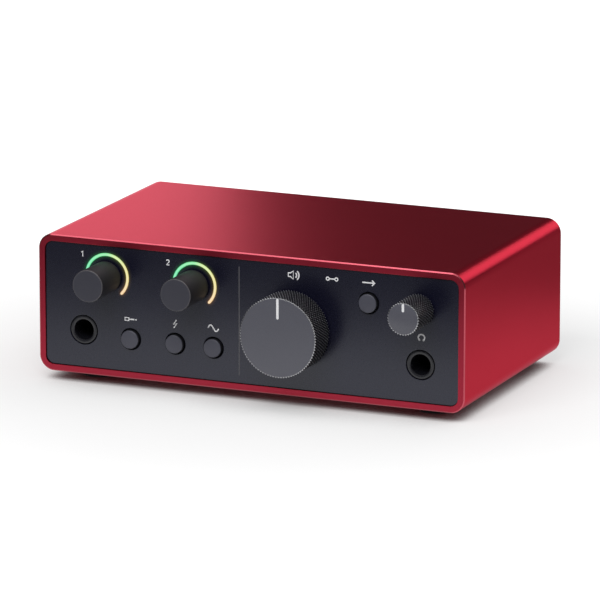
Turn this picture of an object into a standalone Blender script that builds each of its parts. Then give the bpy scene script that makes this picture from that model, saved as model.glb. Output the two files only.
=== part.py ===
"""A compact desktop audio interface: an extruded sleeve, two end panels, boards, sockets, knobs and buttons.

Metres, +Z up. The origin is on the surface that the feet stand on, at the middle of the overall box.
The front faces -Y. Heights are measured from the underside of the sleeve, and depths from its front edge.
"""

import math

import bmesh
import bpy
from mathutils import Matrix, Vector

# Sleeve: one length of aluminium extrusion
CASE_WIDTH = 0.1435
CASE_HEIGHT = 0.044
CASE_DEPTH = 0.083
CASE_WALL = 0.0022
CASE_CORNER_RADIUS = 0.0048
CASE_EDGE_CHAMFER = 0.0004

# Screw channels along the side walls, and the ledges under the main board
CHANNEL_RADIUS = 0.00125
LUG_WALL = 0.00125
LEDGE_WIDTH = 0.0026
ROOT_OVERLAP = 0.0006

# Feet
FOOT_HEIGHT = 0.003
FOOT_RADIUS = 0.006
FOOT_TAPER = 0.0006
FOOT_INSET_X = 0.0145
FOOT_INSET_Y = 0.0135

# Clearances
PANEL_GAP = 0.0003
SEAT_GAP = 0.0003
BOARD_GAP = 0.0003
RUNNING_GAP = 0.0002
INLAY_GAP = 0.00008

# End panels
FRONT_RECESS = 0.0005
FRONT_THICKNESS = 0.0024
REAR_RECESS = 0.001
REAR_THICKNESS = 0.002
PEG_LENGTH = 0.005

# Boards
BOARD_THICKNESS = 0.0016
BOARD_STANDOFF = 0.0024
BOARD_EDGE_GAP = 0.0008
POST_RADIUS = 0.0023
POST_BORE_RADIUS = 0.00105
POST_BORE_DEPTH = 0.0055
POST_OFFSET = 0.005

# Screws
SCREW_HEAD_RADIUS = 0.0023
SCREW_LENGTH = 0.008
SCREW_HOLE_GAP = 0.0002
SCREW_EDGE = 0.0006
SOCKET_SIDES = 6
SOCKET_RADIUS = 0.0011
SOCKET_DEPTH = 0.0008
BOARD_SCREW_HEAD_RADIUS = 0.0019
BOARD_SCREW_HEAD_HEIGHT = 0.0013
BOARD_SCREW_SHANK_RADIUS = 0.0009
BOARD_SCREW_REACH = 0.005

# Quarter-inch jack sockets
JACK_AXIS_RISE = 0.00795
JACK_BORE_RADIUS = 0.00325
JACK_BARREL_RADIUS = 0.00445
JACK_MOUTH_CHAMFER = 0.0004
JACK_HOUSING_WIDTH = 0.012
JACK_HOUSING_LENGTH = 0.028
JACK_BACK_WALL = 0.0017
SPRING_WIDTH = 0.0022
SPRING_THICKNESS = 0.0003
SPRING_LENGTH = 0.0085
SPRING_LIFT = 0.0011
SPRING_WINDOW_GAP = 0.0004

# Front layout
INPUT_JACK_GAP = 0.00115
HEADPHONE_JACK_GAP = 0.0006
UPPER_ROW_DROP = 0.01205
LOWER_ROW_RISE = 0.01268
GAIN_KNOB_OFFSET = 0.00802
GAIN_KNOB_PITCH = 0.02985
INSTRUMENT_BUTTON_OFFSET = 0.0161
PHANTOM_BUTTON_PITCH = 0.0152
TONE_BUTTON_PITCH = 0.013
OUTPUT_KNOB_X = 0.0143
OUTPUT_KNOB_DROP = 0.001
HEADPHONE_KNOB_OFFSET = 0.00055
HEADPHONE_KNOB_DROP = 0.01255
MONITOR_BUTTON_OFFSET = 0.01725

# Knobs
GAIN_KNOB_RADIUS = 0.0051
GAIN_KNOB_REACH = 0.0138
OUTPUT_KNOB_RADIUS = 0.01275
OUTPUT_KNOB_REACH = 0.0109
HEADPHONE_KNOB_RADIUS = 0.0052
HEADPHONE_KNOB_REACH = 0.0128
KNOB_BASE_GAP = 0.0006
KNOB_EDGE_ROUND = 0.0004
KNOB_RIM_WALL = 0.0022
KNOB_HUB_WALL = 0.002
KNOB_FACE_THICKNESS = 0.0024
KNOB_BORE_SPARE = 0.0025
KNURL_PITCH = 0.0018
KNURL_HEIGHT = 0.00022
POINTER_WIDTH = 0.0008
POINTER_DEPTH = 0.0007
OUTPUT_POINTER_LENGTH = 0.0069
HEADPHONE_POINTER_LENGTH = 0.003

# Encoders and potentiometers
SHAFT_RADIUS = 0.003
SHAFT_FLAT = 0.0015
BUSH_WALL = 0.0006
BUSH_SETBACK = 0.0007
TURNER_WIDTH = 0.009
TURNER_DEPTH = 0.0062
TURNER_STANDOFF = 0.0015
TURNER_BORE_DEPTH = 0.002

# Level halos round the gain knobs
HALO_INNER_RADIUS = 0.0066
HALO_OUTER_RADIUS = 0.00744
HALO_START = math.radians(-45)
HALO_SWEEP = math.radians(270)

# Push buttons and their switches
BUTTON_RADIUS = 0.00295
BUTTON_GAP = 0.00045
BUTTON_REACH = 0.0007
BUTTON_TRAVEL = 0.0006
BUTTON_FLANGE_WIDTH = 0.00115
BUTTON_FLANGE_THICKNESS = 0.0008
BUTTON_STEM_RADIUS = 0.0017
BUTTON_STEM_SEAT = 0.0008
BUTTON_EDGE_ROUND = 0.0003
SWITCH_WIDTH = 0.006
SWITCH_DEPTH = 0.0036

# Rear layout, seen from behind
LOCK_SLOT_INSET = 0.0125
LOCK_SLOT_WIDTH = 0.007
LOCK_SLOT_HEIGHT = 0.003
LOCK_SLOT_RISE = 0.0142
USB_OFFSET = 0.019
LINE_OUT_X = -0.0015
LINE_OUT_PITCH = 0.0195
MIC_INSET = 0.0252

# Microphone socket
MIC_AXIS_RISE = 0.0137
MIC_BARREL_RADIUS = 0.011
MIC_CAVITY_RADIUS = 0.0096
MIC_CAVITY_DEPTH = 0.012
MIC_CORE_RADIUS = 0.0078
MIC_CORE_SETBACK = 0.0008
MIC_PEG_RADIUS = 0.003
MIC_PEG_LENGTH = 0.003
MIC_HOUSING_WIDTH = 0.0255
MIC_HOUSING_LENGTH = 0.019
MIC_PIN_CIRCLE_RADIUS = 0.0044
MIC_PIN_HOLE_RADIUS = 0.0018
MIC_CONTACT_BORE_RADIUS = 0.00122
MIC_CONTACT_SETBACK = 0.0012
MIC_CONTACT_LENGTH = 0.009
MIC_KEY_WIDTH = 0.0024
MIC_KEY_DEPTH = 0.0006

# Type-C data socket
USB_WIDTH = 0.00894
USB_HEIGHT = 0.00326
USB_WALL = 0.0003
USB_LENGTH = 0.0074
USB_SETBACK = 0.0004
USB_TONGUE_WIDTH = 0.0067
USB_TONGUE_THICKNESS = 0.0007
USB_TONGUE_SETBACK = 0.001
USB_BASE_LENGTH = 0.002

# Board-to-board header and processor
LINK_WIDTH = 0.024
LINK_LENGTH = 0.005
LINK_HEIGHT = 0.0066
LINK_X = 0.004
PROCESSOR_WIDTH = 0.012
PROCESSOR_HEIGHT = 0.0012
PROCESSOR_X = 0.012
PROCESSOR_GAP = 0.004

# Facets
ROUND_STEPS = 24
SMALL_ROUND_STEPS = 12
MIC_ROUND_STEPS = 16
MIC_PIN_STEPS = 8
CORNER_STEPS = 5
EDGE_STEPS = 3

# Places worked out from the sizes above
KNOB_REACH = max(GAIN_KNOB_REACH, OUTPUT_KNOB_REACH, HEADPHONE_KNOB_REACH)
FRONT_EDGE_Y = (KNOB_REACH - CASE_DEPTH) / 2
INNER_HALF_WIDTH = CASE_WIDTH / 2 - CASE_WALL
PANEL_HALF_WIDTH = INNER_HALF_WIDTH - PANEL_GAP
PANEL_HEIGHT = CASE_HEIGHT - 2 * CASE_WALL - 2 * PANEL_GAP
PANEL_CORNER_RADIUS = max(CASE_CORNER_RADIUS - CASE_WALL - PANEL_GAP, CASE_EDGE_CHAMFER)
FRONT_INNER_DEPTH = FRONT_RECESS + FRONT_THICKNESS
REAR_INNER_DEPTH = CASE_DEPTH - REAR_RECESS - REAR_THICKNESS
CHANNEL_X = PANEL_HALF_WIDTH - SCREW_EDGE - SCREW_HEAD_RADIUS - SCREW_HOLE_GAP
LUG_RADIUS = CHANNEL_RADIUS + LUG_WALL
MAIN_BOARD_TOP = CASE_WALL + BOARD_STANDOFF + BOARD_THICKNESS
LOWER_CHANNEL_RISE = MAIN_BOARD_TOP + BOARD_GAP + LUG_RADIUS
CHANNEL_RISES = (LOWER_CHANNEL_RISE, CASE_HEIGHT - LOWER_CHANNEL_RISE)
SCREW_SHANK_RADIUS = CHANNEL_RADIUS - RUNNING_GAP

JACK_RISE = MAIN_BOARD_TOP + JACK_AXIS_RISE
JACK_BARREL_LENGTH = max(FRONT_THICKNESS, REAR_THICKNESS) + SEAT_GAP
JACK_BORE_DEPTH = JACK_BARREL_LENGTH + JACK_HOUSING_LENGTH - JACK_BACK_WALL
JACK_HOLE_RADIUS = JACK_BARREL_RADIUS + SEAT_GAP
JACK_LIMIT = CHANNEL_X - LUG_RADIUS - JACK_HOUSING_WIDTH / 2
INPUT_JACK_X = INPUT_JACK_GAP - JACK_LIMIT
HEADPHONE_JACK_X = JACK_LIMIT - HEADPHONE_JACK_GAP

UPPER_ROW_RISE = CASE_HEIGHT - UPPER_ROW_DROP
GAIN_XS = (INPUT_JACK_X + GAIN_KNOB_OFFSET, INPUT_JACK_X + GAIN_KNOB_OFFSET + GAIN_KNOB_PITCH)
OUTPUT_KNOB_RISE = CASE_HEIGHT / 2 - OUTPUT_KNOB_DROP
HEADPHONE_KNOB_X = HEADPHONE_JACK_X - HEADPHONE_KNOB_OFFSET
HEADPHONE_KNOB_RISE = CASE_HEIGHT - HEADPHONE_KNOB_DROP
INSTRUMENT_X = INPUT_JACK_X + INSTRUMENT_BUTTON_OFFSET
PHANTOM_X = INSTRUMENT_X + PHANTOM_BUTTON_PITCH
TONE_X = PHANTOM_X + TONE_BUTTON_PITCH
MONITOR_X = HEADPHONE_JACK_X - MONITOR_BUTTON_OFFSET
BUTTONS = {
    "instrument": (INSTRUMENT_X, LOWER_ROW_RISE),
    "phantom": (PHANTOM_X, LOWER_ROW_RISE),
    "tone": (TONE_X, LOWER_ROW_RISE),
    "monitor": (MONITOR_X, UPPER_ROW_RISE),
}
BUTTON_HOLE_RADIUS = BUTTON_RADIUS + BUTTON_GAP
BUTTON_FLANGE_RADIUS = BUTTON_RADIUS + BUTTON_FLANGE_WIDTH

SHAFT_HOLE_RADIUS = SHAFT_RADIUS + RUNNING_GAP
KNOB_HUB_RADIUS = SHAFT_HOLE_RADIUS + KNOB_HUB_WALL
BUSH_RADIUS = SHAFT_HOLE_RADIUS + BUSH_WALL
BUSH_HOLE_RADIUS = BUSH_RADIUS + SEAT_GAP
BUSH_END_DEPTH = FRONT_RECESS + BUSH_SETBACK
TURNER_FRONT_DEPTH = FRONT_INNER_DEPTH + TURNER_STANDOFF
CONTROL_BOARD_DEPTH = TURNER_FRONT_DEPTH + TURNER_DEPTH + SEAT_GAP
SHAFT_END_DEPTH = TURNER_FRONT_DEPTH + TURNER_BORE_DEPTH - RUNNING_GAP
SWITCH_FRONT_DEPTH = CONTROL_BOARD_DEPTH - SEAT_GAP - SWITCH_DEPTH

POST_PLACES = (
    (sum(GAIN_XS) / 2, UPPER_ROW_RISE + POST_OFFSET),
    ((HEADPHONE_KNOB_X + MONITOR_X) / 2, UPPER_ROW_RISE + POST_OFFSET),
    ((OUTPUT_KNOB_X + MONITOR_X) / 2, LOWER_ROW_RISE),
)

REAR_JACK_XS = {"right": LINE_OUT_X - LINE_OUT_PITCH / 2, "left": LINE_OUT_X + LINE_OUT_PITCH / 2}
LOCK_SLOT_X = LOCK_SLOT_INSET - PANEL_HALF_WIDTH
USB_X = LOCK_SLOT_X + USB_OFFSET
USB_RISE = MAIN_BOARD_TOP + SEAT_GAP + USB_HEIGHT / 2
MIC_X = PANEL_HALF_WIDTH - MIC_INSET
MIC_RISE = MAIN_BOARD_TOP + MIC_AXIS_RISE
MIC_HOLE_RADIUS = MIC_BARREL_RADIUS + SEAT_GAP
MIC_PIN_ANGLES = (math.radians(30), math.radians(150), math.radians(270))


# Scene set-up

def clear_scene():
    for obj in list(bpy.data.objects):
        bpy.data.objects.remove(obj)


def new_collection(name):
    collection = bpy.data.collections.new(name)
    bpy.context.scene.collection.children.link(collection)
    return collection


def new_plane(name, location, rotation):
    """An empty that the pieces of one side hang from: x to the right, y up, z out of that side."""
    plane = bpy.data.objects.new(name, None)
    plane.location = location
    plane.rotation_euler = rotation
    PARTS.objects.link(plane)
    return plane


def new_material(name, colour, roughness, metallic=0.0):
    material = bpy.data.materials.new(name)
    material.use_nodes = True
    shader = material.node_tree.nodes["Principled BSDF"]
    shader.inputs["Base Color"].default_value = (*colour, 1.0)
    shader.inputs["Roughness"].default_value = roughness
    shader.inputs["Metallic"].default_value = metallic
    return material


# Outlines, as lists of points

def circle(radius, steps=ROUND_STEPS, centre=(0.0, 0.0)):
    turns = [2 * math.pi * step / steps for step in range(steps)]
    return [(centre[0] + radius * math.cos(a), centre[1] + radius * math.sin(a)) for a in turns]


def arc(radius, start, sweep, steps, centre=(0.0, 0.0)):
    turns = [start + sweep * step / steps for step in range(steps + 1)]
    return [(centre[0] + radius * math.cos(a), centre[1] + radius * math.sin(a)) for a in turns]


def around(radius, steps):
    """The corner radius of a regular outline whose flat sides touch a circle, as a round hole is drawn."""
    return radius / math.cos(math.pi / steps)


def rectangle(low_x, high_x, low_y, high_y):
    return [(low_x, low_y), (high_x, low_y), (high_x, high_y), (low_x, high_y)]


def rounded_rectangle(width, height, radius, centre=(0.0, 0.0), steps=CORNER_STEPS):
    points = []
    for quarter, (side_x, side_y) in enumerate([(1, 1), (-1, 1), (-1, -1), (1, -1)]):
        corner = (
            centre[0] + side_x * (width / 2 - radius),
            centre[1] + side_y * (height / 2 - radius),
        )
        points += arc(radius, quarter * math.pi / 2, math.pi / 2, steps, corner)
    return points


def arc_band(inner, outer, start, sweep, steps, centre=(0.0, 0.0)):
    """A bent strip with round ends."""
    middle, half = (inner + outer) / 2, (outer - inner) / 2
    ends = []
    for angle in (start + sweep, start):
        ends.append((centre[0] + middle * math.cos(angle), centre[1] + middle * math.sin(angle)))
    far_cap = arc(half, start + sweep, math.pi, CORNER_STEPS, ends[0])
    near_cap = arc(half, start + math.pi, math.pi, CORNER_STEPS, ends[1])
    out_run = arc(outer, start, sweep, steps, centre)
    back_run = arc(inner, start + sweep, -sweep, steps, centre)
    return out_run[:-1] + far_cap + back_run[1:-1] + near_cap[:-1]


def d_section(radius, flat):
    """A round shaft with a flat ground on its lower side."""
    half_angle = math.acos(flat / radius)
    return arc(radius, half_angle - math.pi / 2, 2 * (math.pi - half_angle), SMALL_ROUND_STEPS)


# Meshes

def mesh_from(bm, name):
    mesh = bpy.data.meshes.new(name)
    bm.to_mesh(mesh)
    bm.free()
    mesh.shade_smooth()
    mesh.set_sharp_from_angle(angle=math.radians(32))
    return mesh


def evaluated_mesh(obj, weld):
    """The mesh that an object's curve or modifier makes, as a plain closed mesh. The object is removed."""
    bpy.context.scene.collection.objects.link(obj)
    graph = bpy.context.evaluated_depsgraph_get()
    mesh = bpy.data.meshes.new_from_object(obj.evaluated_get(graph))
    bm = bmesh.new()
    bm.from_mesh(mesh)
    bmesh.ops.remove_doubles(bm, verts=bm.verts, dist=weld)
    name = obj.name
    bpy.data.objects.remove(obj)
    return mesh_from(bm, name)


def plate_mesh(name, loops, low, high):
    """A flat plate from z = low to z = high: the first loop is its outline, and the others are holes."""
    curve = bpy.data.curves.new(name, "CURVE")
    curve.dimensions = "2D"
    curve.fill_mode = "BOTH"
    curve.extrude = (high - low) / 2
    for loop in loops:
        spline = curve.splines.new("POLY")
        spline.points.add(len(loop) - 1)
        for point, (x, y) in zip(spline.points, loop):
            point.co = (x, y, 0.0, 1.0)
        spline.use_cyclic_u = True
    mesh = evaluated_mesh(bpy.data.objects.new(name, curve), 1e-7)
    mesh.transform(Matrix.Translation((0, 0, (low + high) / 2)))
    return mesh


def turned_mesh(name, profile, steps=ROUND_STEPS):
    """A turned piece about z. The profile runs down its outer side, as (radius, z) points."""
    mesh = bpy.data.meshes.new(name)
    bm = bmesh.new()
    verts = [bm.verts.new((radius, 0, z)) for radius, z in profile]
    for pair in zip(verts, verts[1:]):
        bm.edges.new(pair)
    bm.to_mesh(mesh)
    bm.free()
    obj = bpy.data.objects.new(name, mesh)
    screw = obj.modifiers.new("turn", "SCREW")
    screw.axis = "Z"
    screw.steps = steps
    screw.render_steps = steps
    screw.use_merge_vertices = True
    screw.merge_threshold = 1e-6
    return evaluated_mesh(obj, 1e-6)


def cylinder_mesh(name, radius, low, high, steps=ROUND_STEPS, centre=(0.0, 0.0)):
    bm = bmesh.new()
    bmesh.ops.create_cone(
        bm, cap_ends=True, segments=steps, radius1=radius, radius2=radius, depth=high - low
    )
    bmesh.ops.translate(bm, verts=bm.verts, vec=(*centre, (low + high) / 2))
    return mesh_from(bm, name)


def box_mesh(name, low, high):
    bm = bmesh.new()
    bmesh.ops.create_cube(bm, size=1.0)
    low, high = Vector(low), Vector(high)
    bmesh.ops.scale(bm, verts=bm.verts, vec=high - low)
    bmesh.ops.translate(bm, verts=bm.verts, vec=(low + high) / 2)
    return mesh_from(bm, name)


def joined_mesh(name, meshes):
    """Several shapes as one mesh, to be used as one tool."""
    bm = bmesh.new()
    for mesh in meshes:
        bm.from_mesh(mesh)
    return mesh_from(bm, name)


def lofted_mesh(name, rings):
    """A closed tube through rings of points, each ring bridged to the next and the last to the first."""
    bm = bmesh.new()
    loops = []
    for points, z in rings:
        verts = [bm.verts.new((x, y, z)) for x, y in points]
        loops.append([bm.edges.new(pair) for pair in zip(verts, verts[1:] + verts[:1])])
    for first, second in zip(loops, loops[1:] + loops[:1]):
        bmesh.ops.bridge_loops(bm, edges=first + second)
    bmesh.ops.recalc_face_normals(bm, faces=bm.faces)
    return mesh_from(bm, name)


# Objects

def add_part(name, mesh, material, plane, place):
    obj = bpy.data.objects.new(name, mesh)
    mesh.materials.clear()
    mesh.materials.append(material)
    obj.parent = plane
    obj.location = place
    PARTS.objects.link(obj)
    return obj


def shape_with(obj, operation, mesh):
    """Joins a shape to a piece, or cuts it out. The shape is in the piece's own frame."""
    tool = bpy.data.objects.new(f"{obj.name}_{operation.lower()}", mesh)
    tool.parent = obj.parent
    tool.location = obj.location
    tool.hide_render = True
    tool.display_type = "WIRE"
    CUTTERS.objects.link(tool)
    modifier = obj.modifiers.new(operation.lower(), "BOOLEAN")
    modifier.operation = operation
    modifier.object = tool


# Case

def sleeve_ring(inset, z):
    radius = max(CASE_CORNER_RADIUS - inset, CASE_EDGE_CHAMFER)
    width, height = CASE_WIDTH - 2 * inset, CASE_HEIGHT - 2 * inset
    return rounded_rectangle(width, height, radius, (0, CASE_HEIGHT / 2)), z


def build_sleeve():
    rings = [
        sleeve_ring(CASE_EDGE_CHAMFER, 0),
        sleeve_ring(0, -CASE_EDGE_CHAMFER),
        sleeve_ring(0, CASE_EDGE_CHAMFER - CASE_DEPTH),
        sleeve_ring(CASE_EDGE_CHAMFER, -CASE_DEPTH),
        sleeve_ring(CASE_WALL, -CASE_DEPTH),
        sleeve_ring(CASE_WALL, 0),
    ]
    sleeve = add_part("case_sleeve", lofted_mesh("case_sleeve", rings), RED_ANODISED, FRONT, (0, 0, 0))
    front_end = -(FRONT_INNER_DEPTH + SEAT_GAP)
    rear_end = -(REAR_INNER_DEPTH - SEAT_GAP)
    rails = []
    root_x = INNER_HALF_WIDTH + ROOT_OVERLAP
    for side in (-1, 1):
        for rise in CHANNEL_RISES:
            nose = arc(LUG_RADIUS, math.pi / 2, math.pi, CORNER_STEPS * 2, (CHANNEL_X, rise))
            lug = nose + [(root_x, rise - LUG_RADIUS), (root_x, rise + LUG_RADIUS)]
            channel = circle(CHANNEL_RADIUS, SMALL_ROUND_STEPS, (CHANNEL_X, rise))
            loops = [[(side * x, y) for x, y in loop] for loop in (lug, channel)]
            rails.append(plate_mesh("screw_channel", loops, rear_end, front_end))
        ledge = rectangle(
            INNER_HALF_WIDTH - LEDGE_WIDTH,
            root_x,
            CASE_WALL - ROOT_OVERLAP,
            MAIN_BOARD_TOP - BOARD_THICKNESS - BOARD_GAP,
        )
        rails.append(plate_mesh("board_ledge", [[(side * x, y) for x, y in ledge]], rear_end, front_end))
    shape_with(sleeve, "UNION", joined_mesh("sleeve_rails", rails))


def build_feet():
    profile = [
        (0, -SEAT_GAP),
        (FOOT_RADIUS, -SEAT_GAP),
        (FOOT_RADIUS, -FOOT_HEIGHT + 2 * FOOT_TAPER),
        (FOOT_RADIUS - FOOT_TAPER, -FOOT_HEIGHT),
        (0, -FOOT_HEIGHT),
    ]
    places = {
        "front": FOOT_INSET_Y,
        "rear": CASE_DEPTH - FOOT_INSET_Y,
    }
    for row, depth in places.items():
        for side, name in ((-1, "left"), (1, "right")):
            x = side * (CASE_WIDTH / 2 - FOOT_INSET_X)
            mesh = turned_mesh("foot", profile)
            add_part(f"foot_{row}_{name}", mesh, RUBBER, BASE, (x, depth, 0))


# Front panel

def panel_outline():
    return rounded_rectangle(
        2 * PANEL_HALF_WIDTH, PANEL_HEIGHT, PANEL_CORNER_RADIUS, (0, CASE_HEIGHT / 2)
    )


def add_panel(name, plane, holes, recess, thickness):
    """A panel plate with its holes cut by one cutter that runs past both faces."""
    low, high = -recess - thickness, -recess
    plate = plate_mesh(name, [panel_outline()], low, high)
    panel = add_part(name, plate, DARK_PANEL, plane, (0, 0, 0))
    cutters = [plate_mesh("hole", [hole], low - ROOT_OVERLAP, high + ROOT_OVERLAP) for hole in holes]
    shape_with(panel, "DIFFERENCE", joined_mesh(f"{name}_holes", cutters))
    return panel


def build_front_panel():
    holes = []
    bush_hole = around(BUSH_HOLE_RADIUS, SMALL_ROUND_STEPS)
    for x in GAIN_XS:
        centre = (x, UPPER_ROW_RISE)
        holes.append(circle(bush_hole, SMALL_ROUND_STEPS, centre))
        holes.append(halo_outline(INLAY_GAP, centre))
    for centre in ((OUTPUT_KNOB_X, OUTPUT_KNOB_RISE), (HEADPHONE_KNOB_X, HEADPHONE_KNOB_RISE)):
        holes.append(circle(bush_hole, SMALL_ROUND_STEPS, centre))
    for centre in BUTTONS.values():
        holes.append(circle(BUTTON_HOLE_RADIUS, ROUND_STEPS, centre))
    for x in (INPUT_JACK_X, HEADPHONE_JACK_X):
        holes.append(circle(JACK_HOLE_RADIUS, ROUND_STEPS, (x, JACK_RISE)))
    panel = add_panel("front_panel", FRONT, holes, FRONT_RECESS, FRONT_THICKNESS)

    root = ROOT_OVERLAP - FRONT_INNER_DEPTH
    backing, bores = [], []
    peg_radius, peg_end = CHANNEL_RADIUS - RUNNING_GAP, -FRONT_INNER_DEPTH - PEG_LENGTH
    for side in (-1, 1):
        for rise in CHANNEL_RISES:
            centre = (side * CHANNEL_X, rise)
            backing.append(cylinder_mesh("peg", peg_radius, peg_end, root, SMALL_ROUND_STEPS, centre))
    post_end = SEAT_GAP - CONTROL_BOARD_DEPTH
    bore_span = (post_end - ROOT_OVERLAP, post_end + POST_BORE_DEPTH)
    for centre in POST_PLACES:
        backing.append(cylinder_mesh("post", POST_RADIUS, post_end, root, SMALL_ROUND_STEPS, centre))
        bores.append(cylinder_mesh("bore", POST_BORE_RADIUS, *bore_span, SMALL_ROUND_STEPS, centre))
    shape_with(panel, "UNION", joined_mesh("panel_backing", backing))
    shape_with(panel, "DIFFERENCE", joined_mesh("post_bores", bores))


# Level halos

def halo_outline(grow, centre=(0.0, 0.0)):
    return arc_band(
        HALO_INNER_RADIUS - grow, HALO_OUTER_RADIUS + grow, HALO_START, HALO_SWEEP, ROUND_STEPS, centre
    )


def build_halo(number, x):
    mesh = plate_mesh("halo", [halo_outline(0)], SEAT_GAP - TURNER_FRONT_DEPTH, -FRONT_RECESS)
    add_part(f"halo_guide_{number}", mesh, LIGHT_GUIDE, FRONT, (x, UPPER_ROW_RISE, 0))


# Knobs, shafts, encoders and potentiometers

def knob_base():
    """How far in front of the sleeve's front edge a knob's back rim stands."""
    return KNOB_BASE_GAP - FRONT_RECESS


def add_bore(knob, reach):
    """The D-shaped bore, blind towards the knob's face."""
    bore = d_section(SHAFT_HOLE_RADIUS, SHAFT_FLAT + RUNNING_GAP)
    low = knob_base() - ROOT_OVERLAP
    shape_with(knob, "DIFFERENCE", plate_mesh("bore", [bore], low, reach - KNOB_BORE_SPARE))


def add_shaft(name, reach, place):
    high = reach - KNOB_BORE_SPARE - RUNNING_GAP
    mesh = plate_mesh("shaft", [d_section(SHAFT_RADIUS, SHAFT_FLAT)], -SHAFT_END_DEPTH, high)
    add_part(name, mesh, STEEL, FRONT, place)


def build_turner(name, place):
    """The body and bush of an encoder or potentiometer on the control board."""
    half = TURNER_WIDTH / 2
    back = SEAT_GAP - CONTROL_BOARD_DEPTH
    body = box_mesh("body", (-half, -half, back), (half, half, -TURNER_FRONT_DEPTH))
    turner = add_part(name, body, ZINC, FRONT, place)
    bush_span = (-TURNER_FRONT_DEPTH - ROOT_OVERLAP, -BUSH_END_DEPTH)
    bush_radius = around(BUSH_RADIUS, SMALL_ROUND_STEPS)
    shape_with(turner, "UNION", cylinder_mesh("bush", bush_radius, *bush_span, SMALL_ROUND_STEPS))
    bore_span = (-TURNER_FRONT_DEPTH - TURNER_BORE_DEPTH, 0)
    bore_radius = around(SHAFT_HOLE_RADIUS, SMALL_ROUND_STEPS)
    shape_with(turner, "DIFFERENCE", cylinder_mesh("bore", bore_radius, *bore_span, SMALL_ROUND_STEPS))


def build_gain_knob(number, x):
    place = (x, UPPER_ROW_RISE, 0)
    front, base, radius = GAIN_KNOB_REACH, knob_base(), GAIN_KNOB_RADIUS
    profile = [(0, front)] + rounded_edge(radius, front)
    profile += [(radius, base + KNOB_EDGE_ROUND), (radius - KNOB_EDGE_ROUND, base), (0, base)]
    knob = add_part(f"gain_knob_{number}", turned_mesh("gain_knob", profile), SOFT_BLACK, FRONT, place)
    add_bore(knob, front)
    add_shaft(f"gain_shaft_{number}", front, place)
    build_turner(f"gain_encoder_{number}", place)


def rounded_edge(radius, front):
    """The profile points of a knob's rounded front edge."""
    centre = (radius - KNOB_EDGE_ROUND, front - KNOB_EDGE_ROUND)
    return arc(KNOB_EDGE_ROUND, math.pi / 2, -math.pi / 2, EDGE_STEPS, centre)


def knurled_mesh(name, radius, base, front):
    """A solid knob whose side is a diamond knurl: a grid of points, every other one pressed in."""
    columns = 2 * round(2 * math.pi * radius / KNURL_PITCH)
    low, high = base + KNOB_EDGE_ROUND, front - KNOB_EDGE_ROUND
    rows = max(2, round((high - low) / (KNURL_PITCH / 2)))
    inner = radius - KNURL_HEIGHT - KNOB_EDGE_ROUND
    profile = [(0, front), (inner, front)]
    profile += [(radius, high - (high - low) * row / rows) for row in range(rows + 1)]
    profile += [(inner, base), (0, base)]
    bm = bmesh.new()
    verts = [bm.verts.new((r, 0, z)) for r, z in profile]
    edges = [bm.edges.new(pair) for pair in zip(verts, verts[1:])]
    bmesh.ops.spin(
        bm, geom=verts + edges, axis=(0, 0, 1), angle=2 * math.pi, steps=columns, use_merge=True
    )
    bmesh.ops.remove_doubles(bm, verts=bm.verts, dist=1e-6)
    for vert in bm.verts:
        if math.hypot(vert.co.x, vert.co.y) < radius - KNOB_EDGE_ROUND / 2:
            continue
        column = round(math.atan2(vert.co.y, vert.co.x) / (2 * math.pi) * columns)
        row = round((high - vert.co.z) / (high - low) * rows)
        if (column + row) % 2:
            vert.co.xy *= (radius - KNURL_HEIGHT) / radius
    quads = [face for face in bm.faces if len(face.verts) == 4]
    bmesh.ops.triangulate(bm, faces=quads, quad_method="SHORT_EDGE")
    bmesh.ops.recalc_face_normals(bm, faces=bm.faces)
    return mesh_from(bm, name)


def pointer_outline(radius, length, grow):
    """A bar from the rim towards the middle of a knob's face, round at its inner end."""
    half = POINTER_WIDTH / 2 + grow
    end = radius - length + POINTER_WIDTH / 2
    rim = radius + (KNOB_EDGE_ROUND if grow else -KNURL_HEIGHT - KNOB_EDGE_ROUND)
    return arc(half, math.pi, math.pi, CORNER_STEPS, (0, end)) + [(half, rim), (-half, rim)]


def build_knurled_knob(kind, radius, reach, pointer_length, place):
    base = knob_base()
    knob = add_part(f"{kind}_knob", knurled_mesh("knob", radius, base, reach), SOFT_BLACK, FRONT, place)
    slot = pointer_outline(radius, pointer_length, INLAY_GAP)
    slot_floor = reach - POINTER_DEPTH - INLAY_GAP
    cuts = [plate_mesh("slot", [slot], slot_floor, reach + POINTER_DEPTH)]
    rim_bore = radius - KNURL_HEIGHT - KNOB_RIM_WALL
    if rim_bore > KNOB_HUB_RADIUS + KNOB_RIM_WALL:
        loops = [circle(rim_bore), circle(KNOB_HUB_RADIUS)]
        cuts.append(plate_mesh("hollow", loops, base - ROOT_OVERLAP, reach - KNOB_FACE_THICKNESS))
    shape_with(knob, "DIFFERENCE", joined_mesh("knob_cuts", cuts))
    add_bore(knob, reach)
    bar = pointer_outline(radius, pointer_length, 0)
    pointer = plate_mesh("pointer", [bar], reach - POINTER_DEPTH, reach)
    add_part(f"{kind}_pointer", pointer, WHITE, FRONT, place)
    add_shaft(f"{kind}_shaft", reach, place)
    build_turner(f"{kind}_pot", place)


# Buttons and switches

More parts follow.
